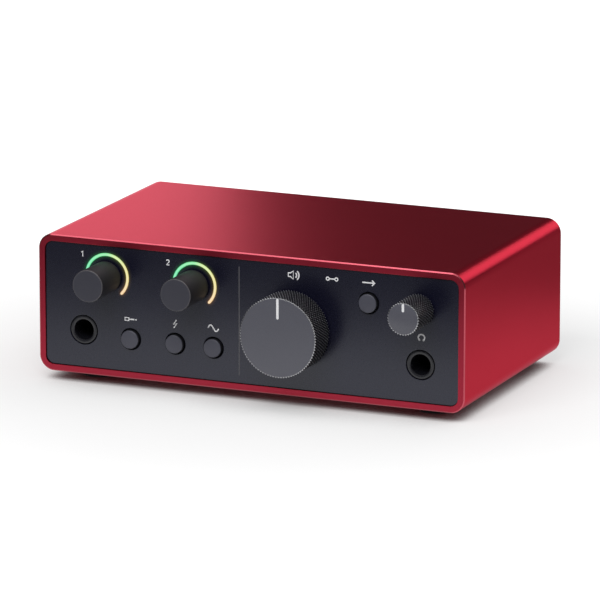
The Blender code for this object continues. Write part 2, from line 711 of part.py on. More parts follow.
def build_button(kind, centre):
    place = (*centre, 0)
    cap_back = -FRONT_INNER_DEPTH - SEAT_GAP
    flange_back = cap_back - BUTTON_FLANGE_THICKNESS
    stem_end = -SWITCH_FRONT_DEPTH - BUTTON_STEM_SEAT
    profile = [
        (0, BUTTON_REACH),
        (BUTTON_RADIUS - BUTTON_EDGE_ROUND, BUTTON_REACH),
        (BUTTON_RADIUS, BUTTON_REACH - BUTTON_EDGE_ROUND),
        (BUTTON_RADIUS, cap_back),
        (BUTTON_FLANGE_RADIUS, cap_back),
        (BUTTON_FLANGE_RADIUS, flange_back),
        (BUTTON_STEM_RADIUS, flange_back),
        (BUTTON_STEM_RADIUS, stem_end),
        (0, stem_end),
    ]
    cap = turned_mesh("button", profile)
    add_part(f"{kind}_button", cap, SOFT_BLACK, FRONT, place)

    half = SWITCH_WIDTH / 2
    back = SEAT_GAP - CONTROL_BOARD_DEPTH
    body = box_mesh("switch", (-half, -half, back), (half, half, -SWITCH_FRONT_DEPTH))
    switch = add_part(f"{kind}_switch", body, BLACK_PLASTIC, FRONT, place)
    well_radius = around(BUTTON_STEM_RADIUS + RUNNING_GAP, SMALL_ROUND_STEPS)
    well_floor = stem_end - BUTTON_TRAVEL - SEAT_GAP
    well = cylinder_mesh("well", well_radius, well_floor, 0, SMALL_ROUND_STEPS)
    shape_with(switch, "DIFFERENCE", well)


# Jack sockets

def build_jack(name, plane, x, out):
    place = (x, JACK_RISE, out)
    half = JACK_HOUSING_WIDTH / 2
    front, back = -JACK_BARREL_LENGTH, -JACK_BARREL_LENGTH - JACK_HOUSING_LENGTH
    floor = SEAT_GAP - JACK_AXIS_RISE
    jack = add_part(
        name, box_mesh("housing", (-half, floor, back), (half, half, front)), BLACK_PLASTIC, plane, place
    )
    barrel = cylinder_mesh("barrel", JACK_BARREL_RADIUS, front - ROOT_OVERLAP, 0)
    shape_with(jack, "UNION", barrel)
    bore_radius = around(JACK_BORE_RADIUS, ROUND_STEPS)
    bore = [
        (0, JACK_MOUTH_CHAMFER),
        (bore_radius + 2 * JACK_MOUTH_CHAMFER, JACK_MOUTH_CHAMFER),
        (bore_radius, -JACK_MOUTH_CHAMFER),
        (bore_radius, -JACK_BORE_DEPTH),
        (0, -JACK_BORE_DEPTH),
    ]
    shape_with(jack, "DIFFERENCE", turned_mesh("jack_bore", bore))

    window_half = SPRING_WIDTH / 2 + SPRING_WINDOW_GAP
    window_back = -JACK_BORE_DEPTH + SPRING_WINDOW_GAP
    window_front = window_back + SPRING_LENGTH + 2 * SPRING_WINDOW_GAP
    window_low = (-window_half, JACK_BORE_RADIUS / 2, window_back)
    window_high = (window_half, half + ROOT_OVERLAP, window_front)
    shape_with(jack, "DIFFERENCE", box_mesh("window", window_low, window_high))

    spring_back = window_back + SPRING_WINDOW_GAP
    contact = bore_radius + SPRING_THICKNESS
    leaf = [
        (half - SPRING_WINDOW_GAP, spring_back + SPRING_THICKNESS),
        (contact, spring_back + SPRING_LENGTH / 2),
        (contact + SPRING_LIFT, spring_back + SPRING_LENGTH - SPRING_THICKNESS),
    ]
    add_part(f"{name}_spring", leaf_mesh("spring", leaf), BRASS, plane, place)


def leaf_mesh(name, path):
    """A bent leaf spring: a strip along the path, given its thickness by Solidify."""
    mesh = bpy.data.meshes.new(name)
    bm = bmesh.new()
    verts = [bm.verts.new((-SPRING_WIDTH / 2, y, z)) for y, z in path]
    edges = [bm.edges.new(pair) for pair in zip(verts, verts[1:])]
    swept = bmesh.ops.extrude_edge_only(bm, edges=edges)["geom"]
    moved = [item for item in swept if isinstance(item, bmesh.types.BMVert)]
    bmesh.ops.translate(bm, verts=moved, vec=(SPRING_WIDTH, 0, 0))
    bm.to_mesh(mesh)
    bm.free()
    obj = bpy.data.objects.new(name, mesh)
    solidify = obj.modifiers.new("thickness", "SOLIDIFY")
    solidify.thickness = SPRING_THICKNESS
    solidify.offset = 0
    return evaluated_mesh(obj, 1e-7)


# Rear panel and its sockets

def build_rear_panel():
    holes = [circle(MIC_HOLE_RADIUS, ROUND_STEPS, (MIC_X, MIC_RISE))]
    for x in REAR_JACK_XS.values():
        holes.append(circle(JACK_HOLE_RADIUS, ROUND_STEPS, (x, JACK_RISE)))
    usb_height = USB_HEIGHT + 2 * SEAT_GAP
    usb_hole = (USB_WIDTH + 2 * SEAT_GAP, usb_height, usb_height / 2, (USB_X, USB_RISE))
    holes.append(rounded_rectangle(*usb_hole))
    lock = (LOCK_SLOT_WIDTH, LOCK_SLOT_HEIGHT, LOCK_SLOT_HEIGHT / 4, (LOCK_SLOT_X, LOCK_SLOT_RISE))
    holes.append(rounded_rectangle(*lock))
    panel = add_panel("rear_panel", REAR, holes, REAR_RECESS, REAR_THICKNESS)

    sinks = []
    for place in screw_places():
        profile = screw_profile(SCREW_HOLE_GAP, REAR_THICKNESS + ROOT_OVERLAP)
        sink = turned_mesh("countersink", profile, SMALL_ROUND_STEPS)
        sink.transform(Matrix.Translation(place))
        sinks.append(sink)
    shape_with(panel, "DIFFERENCE", joined_mesh("countersinks", sinks))


def screw_places():
    return [(side * CHANNEL_X, rise, -REAR_RECESS) for side in (-1, 1) for rise in CHANNEL_RISES]


def screw_profile(grow, length):
    """A countersunk screw, or with grow the hole that it sits in, which opens past the panel's face."""
    head, shank = SCREW_HEAD_RADIUS + grow, SCREW_SHANK_RADIUS + grow
    top = ROOT_OVERLAP if grow else 0
    return [(0, top), (head + top, top), (shank, shank - head), (shank, -length), (0, -length)]


def build_rear_screws():
    for number, place in enumerate(screw_places(), 1):
        profile = screw_profile(0, SCREW_LENGTH)
        mesh = turned_mesh("screw", profile, SMALL_ROUND_STEPS)
        screw = add_part(f"rear_screw_{number}", mesh, STEEL, REAR, place)
        socket = cylinder_mesh("socket", SOCKET_RADIUS, -SOCKET_DEPTH, SOCKET_DEPTH, SOCKET_SIDES)
        shape_with(screw, "DIFFERENCE", socket)


def build_mic_socket():
    place = (MIC_X, MIC_RISE, -REAR_RECESS)
    half = MIC_HOUSING_WIDTH / 2
    front = -REAR_THICKNESS - SEAT_GAP
    floor = SEAT_GAP - MIC_AXIS_RISE
    housing = box_mesh("housing", (-half, floor, front - MIC_HOUSING_LENGTH), (half, half, front))
    socket = add_part("mic_socket", housing, BLACK_PLASTIC, REAR, place)
    barrel = cylinder_mesh("barrel", MIC_BARREL_RADIUS, front - ROOT_OVERLAP, 0, MIC_ROUND_STEPS)
    shape_with(socket, "UNION", barrel)
    core_back = SEAT_GAP - MIC_CAVITY_DEPTH
    peg_end = core_back - MIC_PEG_LENGTH
    peg_hole_radius = around(MIC_PEG_RADIUS + RUNNING_GAP, MIC_ROUND_STEPS)
    cavity = [
        (0, ROOT_OVERLAP),
        (MIC_CAVITY_RADIUS, ROOT_OVERLAP),
        (MIC_CAVITY_RADIUS, -MIC_CAVITY_DEPTH),
        (peg_hole_radius, -MIC_CAVITY_DEPTH),
        (peg_hole_radius, peg_end - SEAT_GAP),
        (0, peg_end - SEAT_GAP),
    ]
    shape_with(socket, "DIFFERENCE", turned_mesh("cavity", cavity, MIC_ROUND_STEPS))
    key_low = (-MIC_KEY_WIDTH / 2, MIC_CORE_RADIUS, -MIC_CAVITY_DEPTH / 2)
    key_high = (MIC_KEY_WIDTH / 2, MIC_CAVITY_RADIUS + MIC_KEY_DEPTH, ROOT_OVERLAP)
    shape_with(socket, "DIFFERENCE", box_mesh("key", key_low, key_high))

    profile = [
        (0, -MIC_CORE_SETBACK),
        (MIC_CORE_RADIUS, -MIC_CORE_SETBACK),
        (MIC_CORE_RADIUS, core_back),
        (MIC_PEG_RADIUS, core_back),
        (MIC_PEG_RADIUS, peg_end),
        (0, peg_end),
    ]
    core = add_part("mic_core", turned_mesh("core", profile, MIC_ROUND_STEPS), BLACK_PLASTIC, REAR, place)
    hole_floor = -MIC_CONTACT_SETBACK - MIC_CONTACT_LENGTH - SEAT_GAP
    holes = []
    for number, angle in enumerate(MIC_PIN_ANGLES, 1):
        x = MIC_PIN_CIRCLE_RADIUS * math.cos(angle)
        y = MIC_PIN_CIRCLE_RADIUS * math.sin(angle)
        holes.append(
            cylinder_mesh("pin", MIC_PIN_HOLE_RADIUS, hole_floor, ROOT_OVERLAP, MIC_PIN_STEPS, (x, y))
        )
        tube = [
            circle(MIC_PIN_HOLE_RADIUS - RUNNING_GAP, SMALL_ROUND_STEPS),
            circle(MIC_CONTACT_BORE_RADIUS, SMALL_ROUND_STEPS),
        ]
        contact_low = -MIC_CONTACT_SETBACK - MIC_CONTACT_LENGTH
        contact = plate_mesh("contact", tube, contact_low, -MIC_CONTACT_SETBACK)
        contact_place = (place[0] + x, place[1] + y, place[2])
        add_part(f"mic_contact_{number}", contact, BRASS, REAR, contact_place)
    shape_with(core, "DIFFERENCE", joined_mesh("pin_holes", holes))


def build_usb_port():
    place = (USB_X, USB_RISE, -REAR_RECESS - USB_SETBACK)
    inner_width, inner_height = USB_WIDTH - 2 * USB_WALL, USB_HEIGHT - 2 * USB_WALL
    loops = [
        rounded_rectangle(USB_WIDTH, USB_HEIGHT, USB_HEIGHT / 2),
        rounded_rectangle(inner_width, inner_height, inner_height / 2),
    ]
    add_part("usb_shell", plate_mesh("usb_shell", loops, -USB_LENGTH, 0), STEEL, REAR, place)
    base_height = inner_height - 2 * RUNNING_GAP
    base = rounded_rectangle(inner_width - 2 * RUNNING_GAP, base_height, base_height / 2)
    block = plate_mesh("usb_tongue", [base], -USB_LENGTH, USB_BASE_LENGTH - USB_LENGTH)
    tongue = add_part("usb_tongue", block, BLACK_PLASTIC, REAR, place)
    root = USB_BASE_LENGTH - USB_LENGTH
    half_width, half_height = USB_TONGUE_WIDTH / 2, USB_TONGUE_THICKNESS / 2
    blade_low = (-half_width, -half_height, root - ROOT_OVERLAP)
    blade_high = (half_width, half_height, -USB_TONGUE_SETBACK)
    shape_with(tongue, "UNION", box_mesh("blade", blade_low, blade_high))


# Boards

def build_boards():
    half = INNER_HALF_WIDTH - BOARD_GAP
    front, back = FRONT_INNER_DEPTH + BOARD_EDGE_GAP, REAR_INNER_DEPTH - BOARD_EDGE_GAP
    main = plate_mesh(
        "main_board", [rectangle(-half, half, front, back)], MAIN_BOARD_TOP - BOARD_THICKNESS, MAIN_BOARD_TOP
    )
    add_part("main_board", main, GREEN_BOARD, BASE, (0, 0, 0))

    top = CASE_HEIGHT - CASE_WALL - BOARD_EDGE_GAP
    bottom = MAIN_BOARD_TOP + BOARD_EDGE_GAP
    wide = CHANNEL_X - LUG_RADIUS - BOARD_EDGE_GAP
    jack_clear = JACK_HOUSING_WIDTH / 2 + BOARD_EDGE_GAP
    left, right = INPUT_JACK_X + jack_clear, HEADPHONE_JACK_X - jack_clear
    shoulder = JACK_RISE + jack_clear
    outline = [
        (left, bottom),
        (right, bottom),
        (right, shoulder),
        (wide, shoulder),
        (wide, top),
        (-wide, top),
        (-wide, shoulder),
        (left, shoulder),
    ]
    loops = [outline]
    hole_radius = BOARD_SCREW_SHANK_RADIUS + SCREW_HOLE_GAP
    loops += [circle(hole_radius, SMALL_ROUND_STEPS, centre) for centre in POST_PLACES]
    back_face = -CONTROL_BOARD_DEPTH - BOARD_THICKNESS
    control = plate_mesh("control_board", loops, back_face, -CONTROL_BOARD_DEPTH)
    add_part("control_board", control, GREEN_BOARD, FRONT, (0, 0, 0))

    seat = back_face - SEAT_GAP
    for number, centre in enumerate(POST_PLACES, 1):
        profile = [
            (0, seat + BOARD_SCREW_REACH),
            (BOARD_SCREW_SHANK_RADIUS, seat + BOARD_SCREW_REACH),
            (BOARD_SCREW_SHANK_RADIUS, seat),
            (BOARD_SCREW_HEAD_RADIUS, seat),
            (BOARD_SCREW_HEAD_RADIUS, seat - BOARD_SCREW_HEAD_HEIGHT),
            (0, seat - BOARD_SCREW_HEAD_HEIGHT),
        ]
        mesh = turned_mesh("board_screw", profile, SMALL_ROUND_STEPS)
        add_part(f"board_screw_{number}", mesh, STEEL, FRONT, (*centre, 0))

    link_front = CONTROL_BOARD_DEPTH + BOARD_THICKNESS + SEAT_GAP
    link_floor = MAIN_BOARD_TOP + SEAT_GAP
    link_back = link_front + LINK_LENGTH
    link_low = (-LINK_WIDTH / 2, link_front, link_floor)
    link_high = (LINK_WIDTH / 2, link_back, link_floor + LINK_HEIGHT)
    add_part("board_link", box_mesh("board_link", link_low, link_high), BLACK_PLASTIC, BASE, (LINK_X, 0, 0))

    half_chip = PROCESSOR_WIDTH / 2
    chip_front = link_back + PROCESSOR_GAP
    chip_low = (-half_chip, chip_front, link_floor)
    chip_high = (half_chip, chip_front + PROCESSOR_WIDTH, link_floor + PROCESSOR_HEIGHT)
    chip = box_mesh("processor", chip_low, chip_high)
    add_part("processor", chip, BLACK_PLASTIC, BASE, (PROCESSOR_X, 0, 0))


clear_scene()
PARTS = new_collection("audio_interface")
CUTTERS = new_collection("cutters")
FRONT = new_plane("front_plane", (0, FRONT_EDGE_Y, FOOT_HEIGHT), (math.pi / 2, 0, 0))
REAR = new_plane("rear_plane", (0, FRONT_EDGE_Y + CASE_DEPTH, FOOT_HEIGHT), (math.pi / 2, 0, math.pi))
BASE = new_plane("base_plane", (0, FRONT_EDGE_Y, FOOT_HEIGHT), (0, 0, 0))

RED_ANODISED = new_material("red_anodised", (0.45, 0.02, 0.045), 0.35, 0.9)
DARK_PANEL = new_material("dark_panel", (0.028, 0.029, 0.036), 0.5)
SOFT_BLACK = new_material("soft_black", (0.03, 0.03, 0.033), 0.6)
BLACK_PLASTIC = new_material("black_plastic", (0.015, 0.015, 0.016), 0.45)
WHITE = new_material("pointer_white", (0.85, 0.85, 0.87), 0.4)
LIGHT_GUIDE = new_material("light_guide", (0.3, 0.9, 0.5), 0.3)
RUBBER = new_material("foot_rubber", (0.02, 0.02, 0.02), 0.8)
STEEL = new_material("steel", (0.55, 0.55, 0.57), 0.35, 1.0)
ZINC = new_material("zinc", (0.5, 0.5, 0.52), 0.45, 1.0)
BRASS = new_material("gold_contact", (0.8, 0.6, 0.25), 0.3, 1.0)
GREEN_BOARD = new_material("circuit_board", (0.03, 0.16, 0.06), 0.5)

build_sleeve()
build_feet()
build_front_panel()
for NUMBER, GAIN_X in enumerate(GAIN_XS, 1):
    build_halo(NUMBER, GAIN_X)
    build_gain_knob(NUMBER, GAIN_X)
build_knurled_knob(
    "output",
    OUTPUT_KNOB_RADIUS,
    OUTPUT_KNOB_REACH,
    OUTPUT_POINTER_LENGTH,
    (OUTPUT_KNOB_X, OUTPUT_KNOB_RISE, 0),
)
build_knurled_knob(
    "headphone",
    HEADPHONE_KNOB_RADIUS,
    HEADPHONE_KNOB_REACH,
    HEADPHONE_POINTER_LENGTH,
    (HEADPHONE_KNOB_X, HEADPHONE_KNOB_RISE, 0),
)
for KIND, CENTRE in BUTTONS.items():
    build_button(KIND, CENTRE)
build_jack("input_jack", FRONT, INPUT_JACK_X, -FRONT_RECESS)
build_jack("headphone_jack", FRONT, HEADPHONE_JACK_X, -FRONT_RECESS)
build_rear_panel()
build_rear_screws()
build_mic_socket()
for SIDE, JACK_X in REAR_JACK_XS.items():
    build_jack(f"line_out_{SIDE}_jack", REAR, JACK_X, -REAR_RECESS)
build_usb_port()
build_boards()
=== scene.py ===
import math

import bmesh
import bpy
from mathutils import Matrix, Vector


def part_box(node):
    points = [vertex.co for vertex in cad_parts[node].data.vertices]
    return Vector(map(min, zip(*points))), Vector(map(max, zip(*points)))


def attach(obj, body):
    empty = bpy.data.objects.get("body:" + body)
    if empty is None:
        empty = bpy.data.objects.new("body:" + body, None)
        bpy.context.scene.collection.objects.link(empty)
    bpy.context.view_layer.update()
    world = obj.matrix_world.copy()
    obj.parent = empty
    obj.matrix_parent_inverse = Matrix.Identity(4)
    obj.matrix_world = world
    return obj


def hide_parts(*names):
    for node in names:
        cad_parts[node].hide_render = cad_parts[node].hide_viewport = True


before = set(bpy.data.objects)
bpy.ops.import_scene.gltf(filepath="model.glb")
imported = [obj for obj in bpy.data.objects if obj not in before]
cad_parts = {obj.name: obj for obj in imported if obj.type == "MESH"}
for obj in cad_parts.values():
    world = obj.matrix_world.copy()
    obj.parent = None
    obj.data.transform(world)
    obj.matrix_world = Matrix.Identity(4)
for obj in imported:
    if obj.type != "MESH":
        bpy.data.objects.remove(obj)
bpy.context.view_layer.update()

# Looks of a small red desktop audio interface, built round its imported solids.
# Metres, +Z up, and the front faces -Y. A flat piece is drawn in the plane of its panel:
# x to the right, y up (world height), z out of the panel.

# Names that repeat
BUTTON_KINDS = ("instrument", "phantom", "tone", "monitor")
GAIN_NUMBERS = (1, 2)
REAR_SCREWS = (1, 2, 3, 4)
FEET = ("foot_front_left", "foot_front_right", "foot_rear_left", "foot_rear_right")
FRONT_JACKS = ("input_jack", "headphone_jack")
REAR_JACKS = ("line_out_left_jack", "line_out_right_jack")

# Smoothing, steps round a circle, and tolerances
SMOOTH_ANGLE = math.radians(34)
CORNER_ANGLE = math.radians(40)
FINE = 96
MEDIUM = 64
NEAR = 1e-5
TOUCH = 1e-6
WELD = 1e-7
UNIT_HALF = 0.5
# A round end's share of half its width, a hair under one so that its two corners don't meet
ROUND_END = 0.98

# Sleeve
CORNER_RADIUS = 0.0048
CORNER_STEPS = 16
SLEEVE_WALL = 0.0022
SLEEVE_CHAMFER = 0.00035
INNER_EDGE = 0.00015
SLEEVE_SMOOTH_ANGLE = math.radians(30)
# A face looks out of an end, or is the flat rim of one, past these shares of its normal along y
END_SHARE = 0.9
RIM_SHARE = 0.99

# Feet
FOOT_TAPER = 0.0006
FOOT_TAPER_HEIGHT = 0.0012
FOOT_ROUND = 0.0004

# End panels
PANEL_GAP = 0.00005
PLATE_EDGE = 0.00008
PLATE_SMOOTH_ANGLE = math.radians(15)
FRONT_RECESS = 0.0005
FRONT_THICKNESS = 0.0024
REAR_RECESS = 0.001
REAR_THICKNESS = 0.002
SEAT_GAP = 0.0003
LIP = 0.00016
# The share of a lip at which its round bends
LIP_BEND = 0.3
BUTTON_HOLE_GAP = 0.00045
SOCKET_HOLE_GAP = 0.0003
SHAFT_HOLE = 0.0041

# Lock slot
# Its width, height and corner radius, and its centre on the rear plane
LOCK_SLOT = (0.007, 0.003, 0.00075)
LOCK_SLOT_CENTRE = (-0.05675, 0.0172)

# Rear screws
SCREW_HEAD = 0.0023
SCREW_GAP = 0.0002
SCREW_EDGE = 0.0001
SCREW_SINK = 0.00125
SCREW_HOLE = 0.00125
SCREW_SHANK = 0.00105
SCREW_STEPS = 48
DRIVE_SIDES = 6
DRIVE_RADIUS = 0.0012
DRIVE_FLOOR_RADIUS = 0.0011
DRIVE_DEPTH = 0.0008

# Jacks
JACK_BARREL = 0.00445
JACK_BORE = 0.00325
JACK_SEAT = 0.0027
JACK_BORE_LENGTH = 0.029
JACK_HOUSING_HALF = 0.006
JACK_CORNER = 0.0005
JACK_EDGE = 0.00014
JACK_EDGE_BEND = 0.00004
# The bore's lead-in, as (wider than the bore, below the face)
JACK_LEAD_IN = ((0.00034, 0.0), (0.00010, 0.00012), (0.0, 0.00036))
HOUSING_STEPS = 3

# Microphone socket
MIC_BARREL = 0.011
MIC_CAVITY = 0.0096
MIC_CAVITY_LENGTH = 0.012
MIC_CORE = 0.0078
MIC_CORE_SETBACK = 0.0008
MIC_HOUSING_HALF = 0.01275
MIC_CORNER = 0.0008
MIC_EDGE = 0.0003
MIC_KEY_WIDTH = 0.0024
MIC_KEY_DEPTH = 0.0006
MIC_PIN_ANGLES = (30, 150, 270)
MIC_PIN_CIRCLE = 0.0044
MIC_PIN_HOLE = 0.0018
MIC_PIN_EDGE = 0.0002
MIC_PIN_LENGTH = 0.0105
MIC_PIN_STEPS = 40

# Type-C socket
USB_WALL = 0.0003
USB_STEPS = 10

# Gain knobs, and the bores of all knobs
GAIN_EDGE = 0.00025
GAIN_BACK_EDGE = 0.0003
BORE_GAP = 0.0001

# Knurled knobs
RIM_HEIGHTS = {"output": 0.00028, "headphone": 0.00026}
KNURL_PITCH = 0.00090
KNURL_LENGTH = 0.00180
KNURL_DEPTH = 0.00032
KNURL_LAND = 0.00010
KNURL_FOOT = 0.0003
FACE_INSET = 0.00006
FACE_POCKET = 0.0004
FACE_DEPTH = 0.0003
FACE_GAP = 0.00002
FACE_EDGE = 0.00006
POINTER_LENGTHS = {"output": 0.0069, "headphone": 0.0030}
POINTER_WIDTH = 0.0008
POINTER_PROUD = 0.00004
POINTER_DEPTH = 0.0004
POINTER_STEPS = 6

# Buttons
BUTTON_RADIUS = 0.00295
BUTTON_STEM = 0.0017
BUTTON_FLANGE = 0.0008
BUTTON_EDGE = 0.00032

# Light rings
RING_INNER = 0.0066
RING_OUTER = 0.00744
RING_START = math.radians(-45)
RING_SWEEP = math.radians(270)
RING_PROUD = 0.00006
RING_EDGE_INSET = 0.00010
RING_EDGE_DROP = 0.00012
RING_DEPTH = 0.0026
RING_SLOT_GAP = 0.00008
RING_END_STEPS = 8
# How much of a turn the ring takes up, and how far round from straight down it starts
RING_SHARE = 0.75
RING_LOW_END = 0.125

# The level colours, by share of the way round from the low end to the high end
LEVEL_COLOURS = (
    (0.00, (0.27, 0.84, 0.55)),
    (0.25, (0.26, 0.83, 0.50)),
    (0.48, (0.36, 0.85, 0.48)),
    (0.60, (0.72, 0.87, 0.46)),
    (0.76, (0.86, 0.80, 0.42)),
    (1.00, (0.92, 0.71, 0.46)),
)
PALE_SHARE = 0.2
# The rings' light, painted as a glow on the panel round them
GLOW_REACH = 0.0020
GLOW_POWER = 2.6
GLOW_HALF_TURN = 0.4
GLOW_END_SLOPE = 25.0
GLOW_LEVEL = 0.18

# Surface grain, and the knurl's lighter tips: partly wear, partly a painted highlight
GRAIN_SCALE = 3000.0
PATCH_SCALE = 40.0
GRAIN_DETAIL = 2.0
PATCH_DETAIL = 3.0
NOISE_ROUGHNESS = 0.55
GRAIN_LOW = 0.3
GRAIN_HIGH = 0.7
BUMP_STRENGTH = 0.5
# The knurl's tips: how sharply they lighten, and their colour, a painted highlight that also stands for
# wear
CREST_POWER = 6.0
CREST_WEAR_AND_GLINT_COLOUR = (0.62, 0.62, 0.66)

# Printed marks
MM = 0.001
PRINT_HEIGHT = 0.00003
PRINT_SINK = 0.00002
STROKE_STEPS = 3
MARK_SCALE = 1.3
NUMBER_SCALE = 1.0
HEADPHONES_SCALE = 1.05
STROKE = 0.00041
OTHER_STROKES = {"number_1": 0.00040, "number_2": 0.00036, "mark_link": 0.00036, "mark_headphones": 0.00050}
# A place is (x, height over the sleeve's underside), and a button's name stands for the button's x
MARK_PLACES = {
    "number_1": (-0.05687, 0.03849),
    "number_2": (-0.02760, 0.03845),
    "mark_plug": ("instrument", 0.0190),
    "mark_spark": ("phantom", 0.0190),
    "mark_wave": ("tone", 0.0189),
    "mark_speaker": (0.0150, 0.0384),
    "mark_link": (0.02765, 0.03835),
    "mark_arrow": ("monitor", 0.0383),
    "mark_headphones": (0.05729, 0.02271),
}
DIVIDER_X = -0.00345
DIVIDER_WIDTH = 0.00028
DIVIDER_CORNER = 0.0001
DIVIDER_STEPS = 3
DIVIDER_LOW = 0.0047
DIVIDER_HIGH = 0.0394

# Floor
FLOOR_HALF = 6.0
FLOOR_GAP = 0.00005
FLOOR_COLOUR = 0.40
# How white the camera sees it, from near the object to far from it
LIFT_NEAR = 0.52
LIFT_FAR = 1.0
LIFT_START = 0.07
LIFT_END = 0.30
# How white it shows in reflections
MIRROR_NEAR = 0.68
MIRROR_FAR = 0.05
MIRROR_START = 0.08
MIRROR_END = 0.24
# The floor off the right front corner, which the sleeve's front edge reflects
PATCH_CENTRE = (0.22, -0.095, 0.0)
PATCH_START = 0.06
PATCH_END = 0.13
# The object's shade on the floor: close under it, and broad round it
SHADE_SAMPLES = 8
SHADE_DISTANCE = 0.010
SHADE_DARK = 0.12
SHADE_LIGHT = 0.58
SHADE_IN_MIRROR = 0.2
BROAD_DISTANCE = 0.028
BROAD_LEAN = math.radians(35)
BROAD_DARK = 0.20
BROAD_LIGHT = 0.62
BROAD_LEAST = 0.55

# World
WORLD_LEVEL = 0.10

# Camera
# The photograph's view, in degrees and metres, with the lens and its sensor in millimetres
VIEW_AZIMUTH = 23.0314
VIEW_ELEVATION = 13.599
VIEW_ROLL = 0.0476
VIEW_DISTANCE = 1.83963
VIEW_LENS = 349.905
VIEW_SENSOR = 36
VIEW_CLIP = (0.01, 100)
VIEW_SHIFT_RIGHT = -0.00042
VIEW_SHIFT_UP = -0.00201


# Places

sleeve_low, sleeve_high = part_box("case_sleeve")
SLEEVE_CENTRE = (sleeve_low + sleeve_high) / 2
FRONT_EDGE = sleeve_low.y
REAR_EDGE = sleeve_high.y
FRONT_FACE = -FRONT_RECESS
REAR_FACE = -REAR_RECESS
UPRIGHT = Matrix.Rotation(math.pi / 2, 4, "X")
FRONT = Matrix.Translation((0, FRONT_EDGE, 0)) @ UPRIGHT
REAR = Matrix.Translation((0, REAR_EDGE, 0)) @ Matrix.Rotation(math.pi, 4, "Z") @ UPRIGHT
PANEL_WIDTH = sleeve_high.x - sleeve_low.x - 2 * SLEEVE_WALL - 2 * PANEL_GAP
PANEL_HEIGHT = sleeve_high.z - sleeve_low.z - 2 * SLEEVE_WALL - 2 * PANEL_GAP
PANEL_RADIUS = CORNER_RADIUS - SLEEVE_WALL - PANEL_GAP
PANEL_CENTRE = (0.0, (sleeve_low.z + sleeve_high.z) / 2)


def middle(node):
    low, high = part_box(node)
    return (low + high) / 2


def on_front(node):
    """The middle of a node on the front plane."""
    point = middle(node)
    return point.x, point.z


def on_rear(node):
    """The middle of a node on the rear plane."""
    point = middle(node)
    return -point.x, point.z


def socket_axis(node, to_plane, half=JACK_HOUSING_HALF):
    """A socket's axis on its plane: the housing's top is half its width above it."""
    return to_plane(node)[0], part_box(node)[1].z - half


def node_span(node):
    """A front node's radius, and how far its back and its face stand from the sleeve's front edge."""
    low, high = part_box(node)
    return (high.x - low.x) / 2, FRONT_EDGE - high.y, FRONT_EDGE - low.y


def front_at(node):
    return FRONT @ Matrix.Translation((*on_front(node), 0))


# Shader groups

def shader_group(name, inputs, outputs):
    group = bpy.data.node_groups.new(name, "ShaderNodeTree")
    for label, kind, value in inputs:
        socket = group.interface.new_socket(name=label, in_out="INPUT", socket_type=kind)
        socket.default_value = value
    for label, kind in outputs:
        group.interface.new_socket(name=label, in_out="OUTPUT", socket_type=kind)
    start = group.nodes.new("NodeGroupInput")
    end = group.nodes.new("NodeGroupOutput")
    return group, start, end


def math_node(tree, operation, first, second=None, clamp=False):
    node = tree.nodes.new("ShaderNodeMath")
    node.operation = operation
    node.use_clamp = clamp
    for socket, value in zip(node.inputs, (first, second)):
        if value is None:
            continue
        if isinstance(value, (int, float)):
            socket.default_value = value
        else:
            tree.links.new(value, socket)
    return node.outputs[0]


def colour_mix(tree, blend, factor, first, second):
    node = tree.nodes.new("ShaderNodeMix")
    node.data_type = "RGBA"
    node.blend_type = blend
    for label, value in (("Factor", factor), ("A", first), ("B", second)):
        if isinstance(value, (float, tuple)):
            node.inputs[label].default_value = value
        else:
            tree.links.new(value, node.inputs[label])
    return node.outputs["Result"]


def grain_group():
    """Fine grain for bumps and gloss, and broad soft patches for colour. Scales are per metre."""
    group, start, end = shader_group(
        "surface_grain",
        [("Grain Scale", "NodeSocketFloat", GRAIN_SCALE), ("Patch Scale", "NodeSocketFloat", PATCH_SCALE)],
        [("Grain", "NodeSocketFloat"), ("Patch", "NodeSocketFloat")],
    )
    nodes, links = group.nodes, group.links
    place = nodes.new("ShaderNodeTexCoord")
    for label, detail in (("Grain", GRAIN_DETAIL), ("Patch", PATCH_DETAIL)):
        noise = nodes.new("ShaderNodeTexNoise")
        noise.inputs["Detail"].default_value = detail
        noise.inputs["Roughness"].default_value = NOISE_ROUGHNESS
        links.new(place.outputs["Object"], noise.inputs["Vector"])
        links.new(start.outputs[f"{label} Scale"], noise.inputs["Scale"])
        links.new(noise.outputs["Fac"], end.inputs[label])
    return group


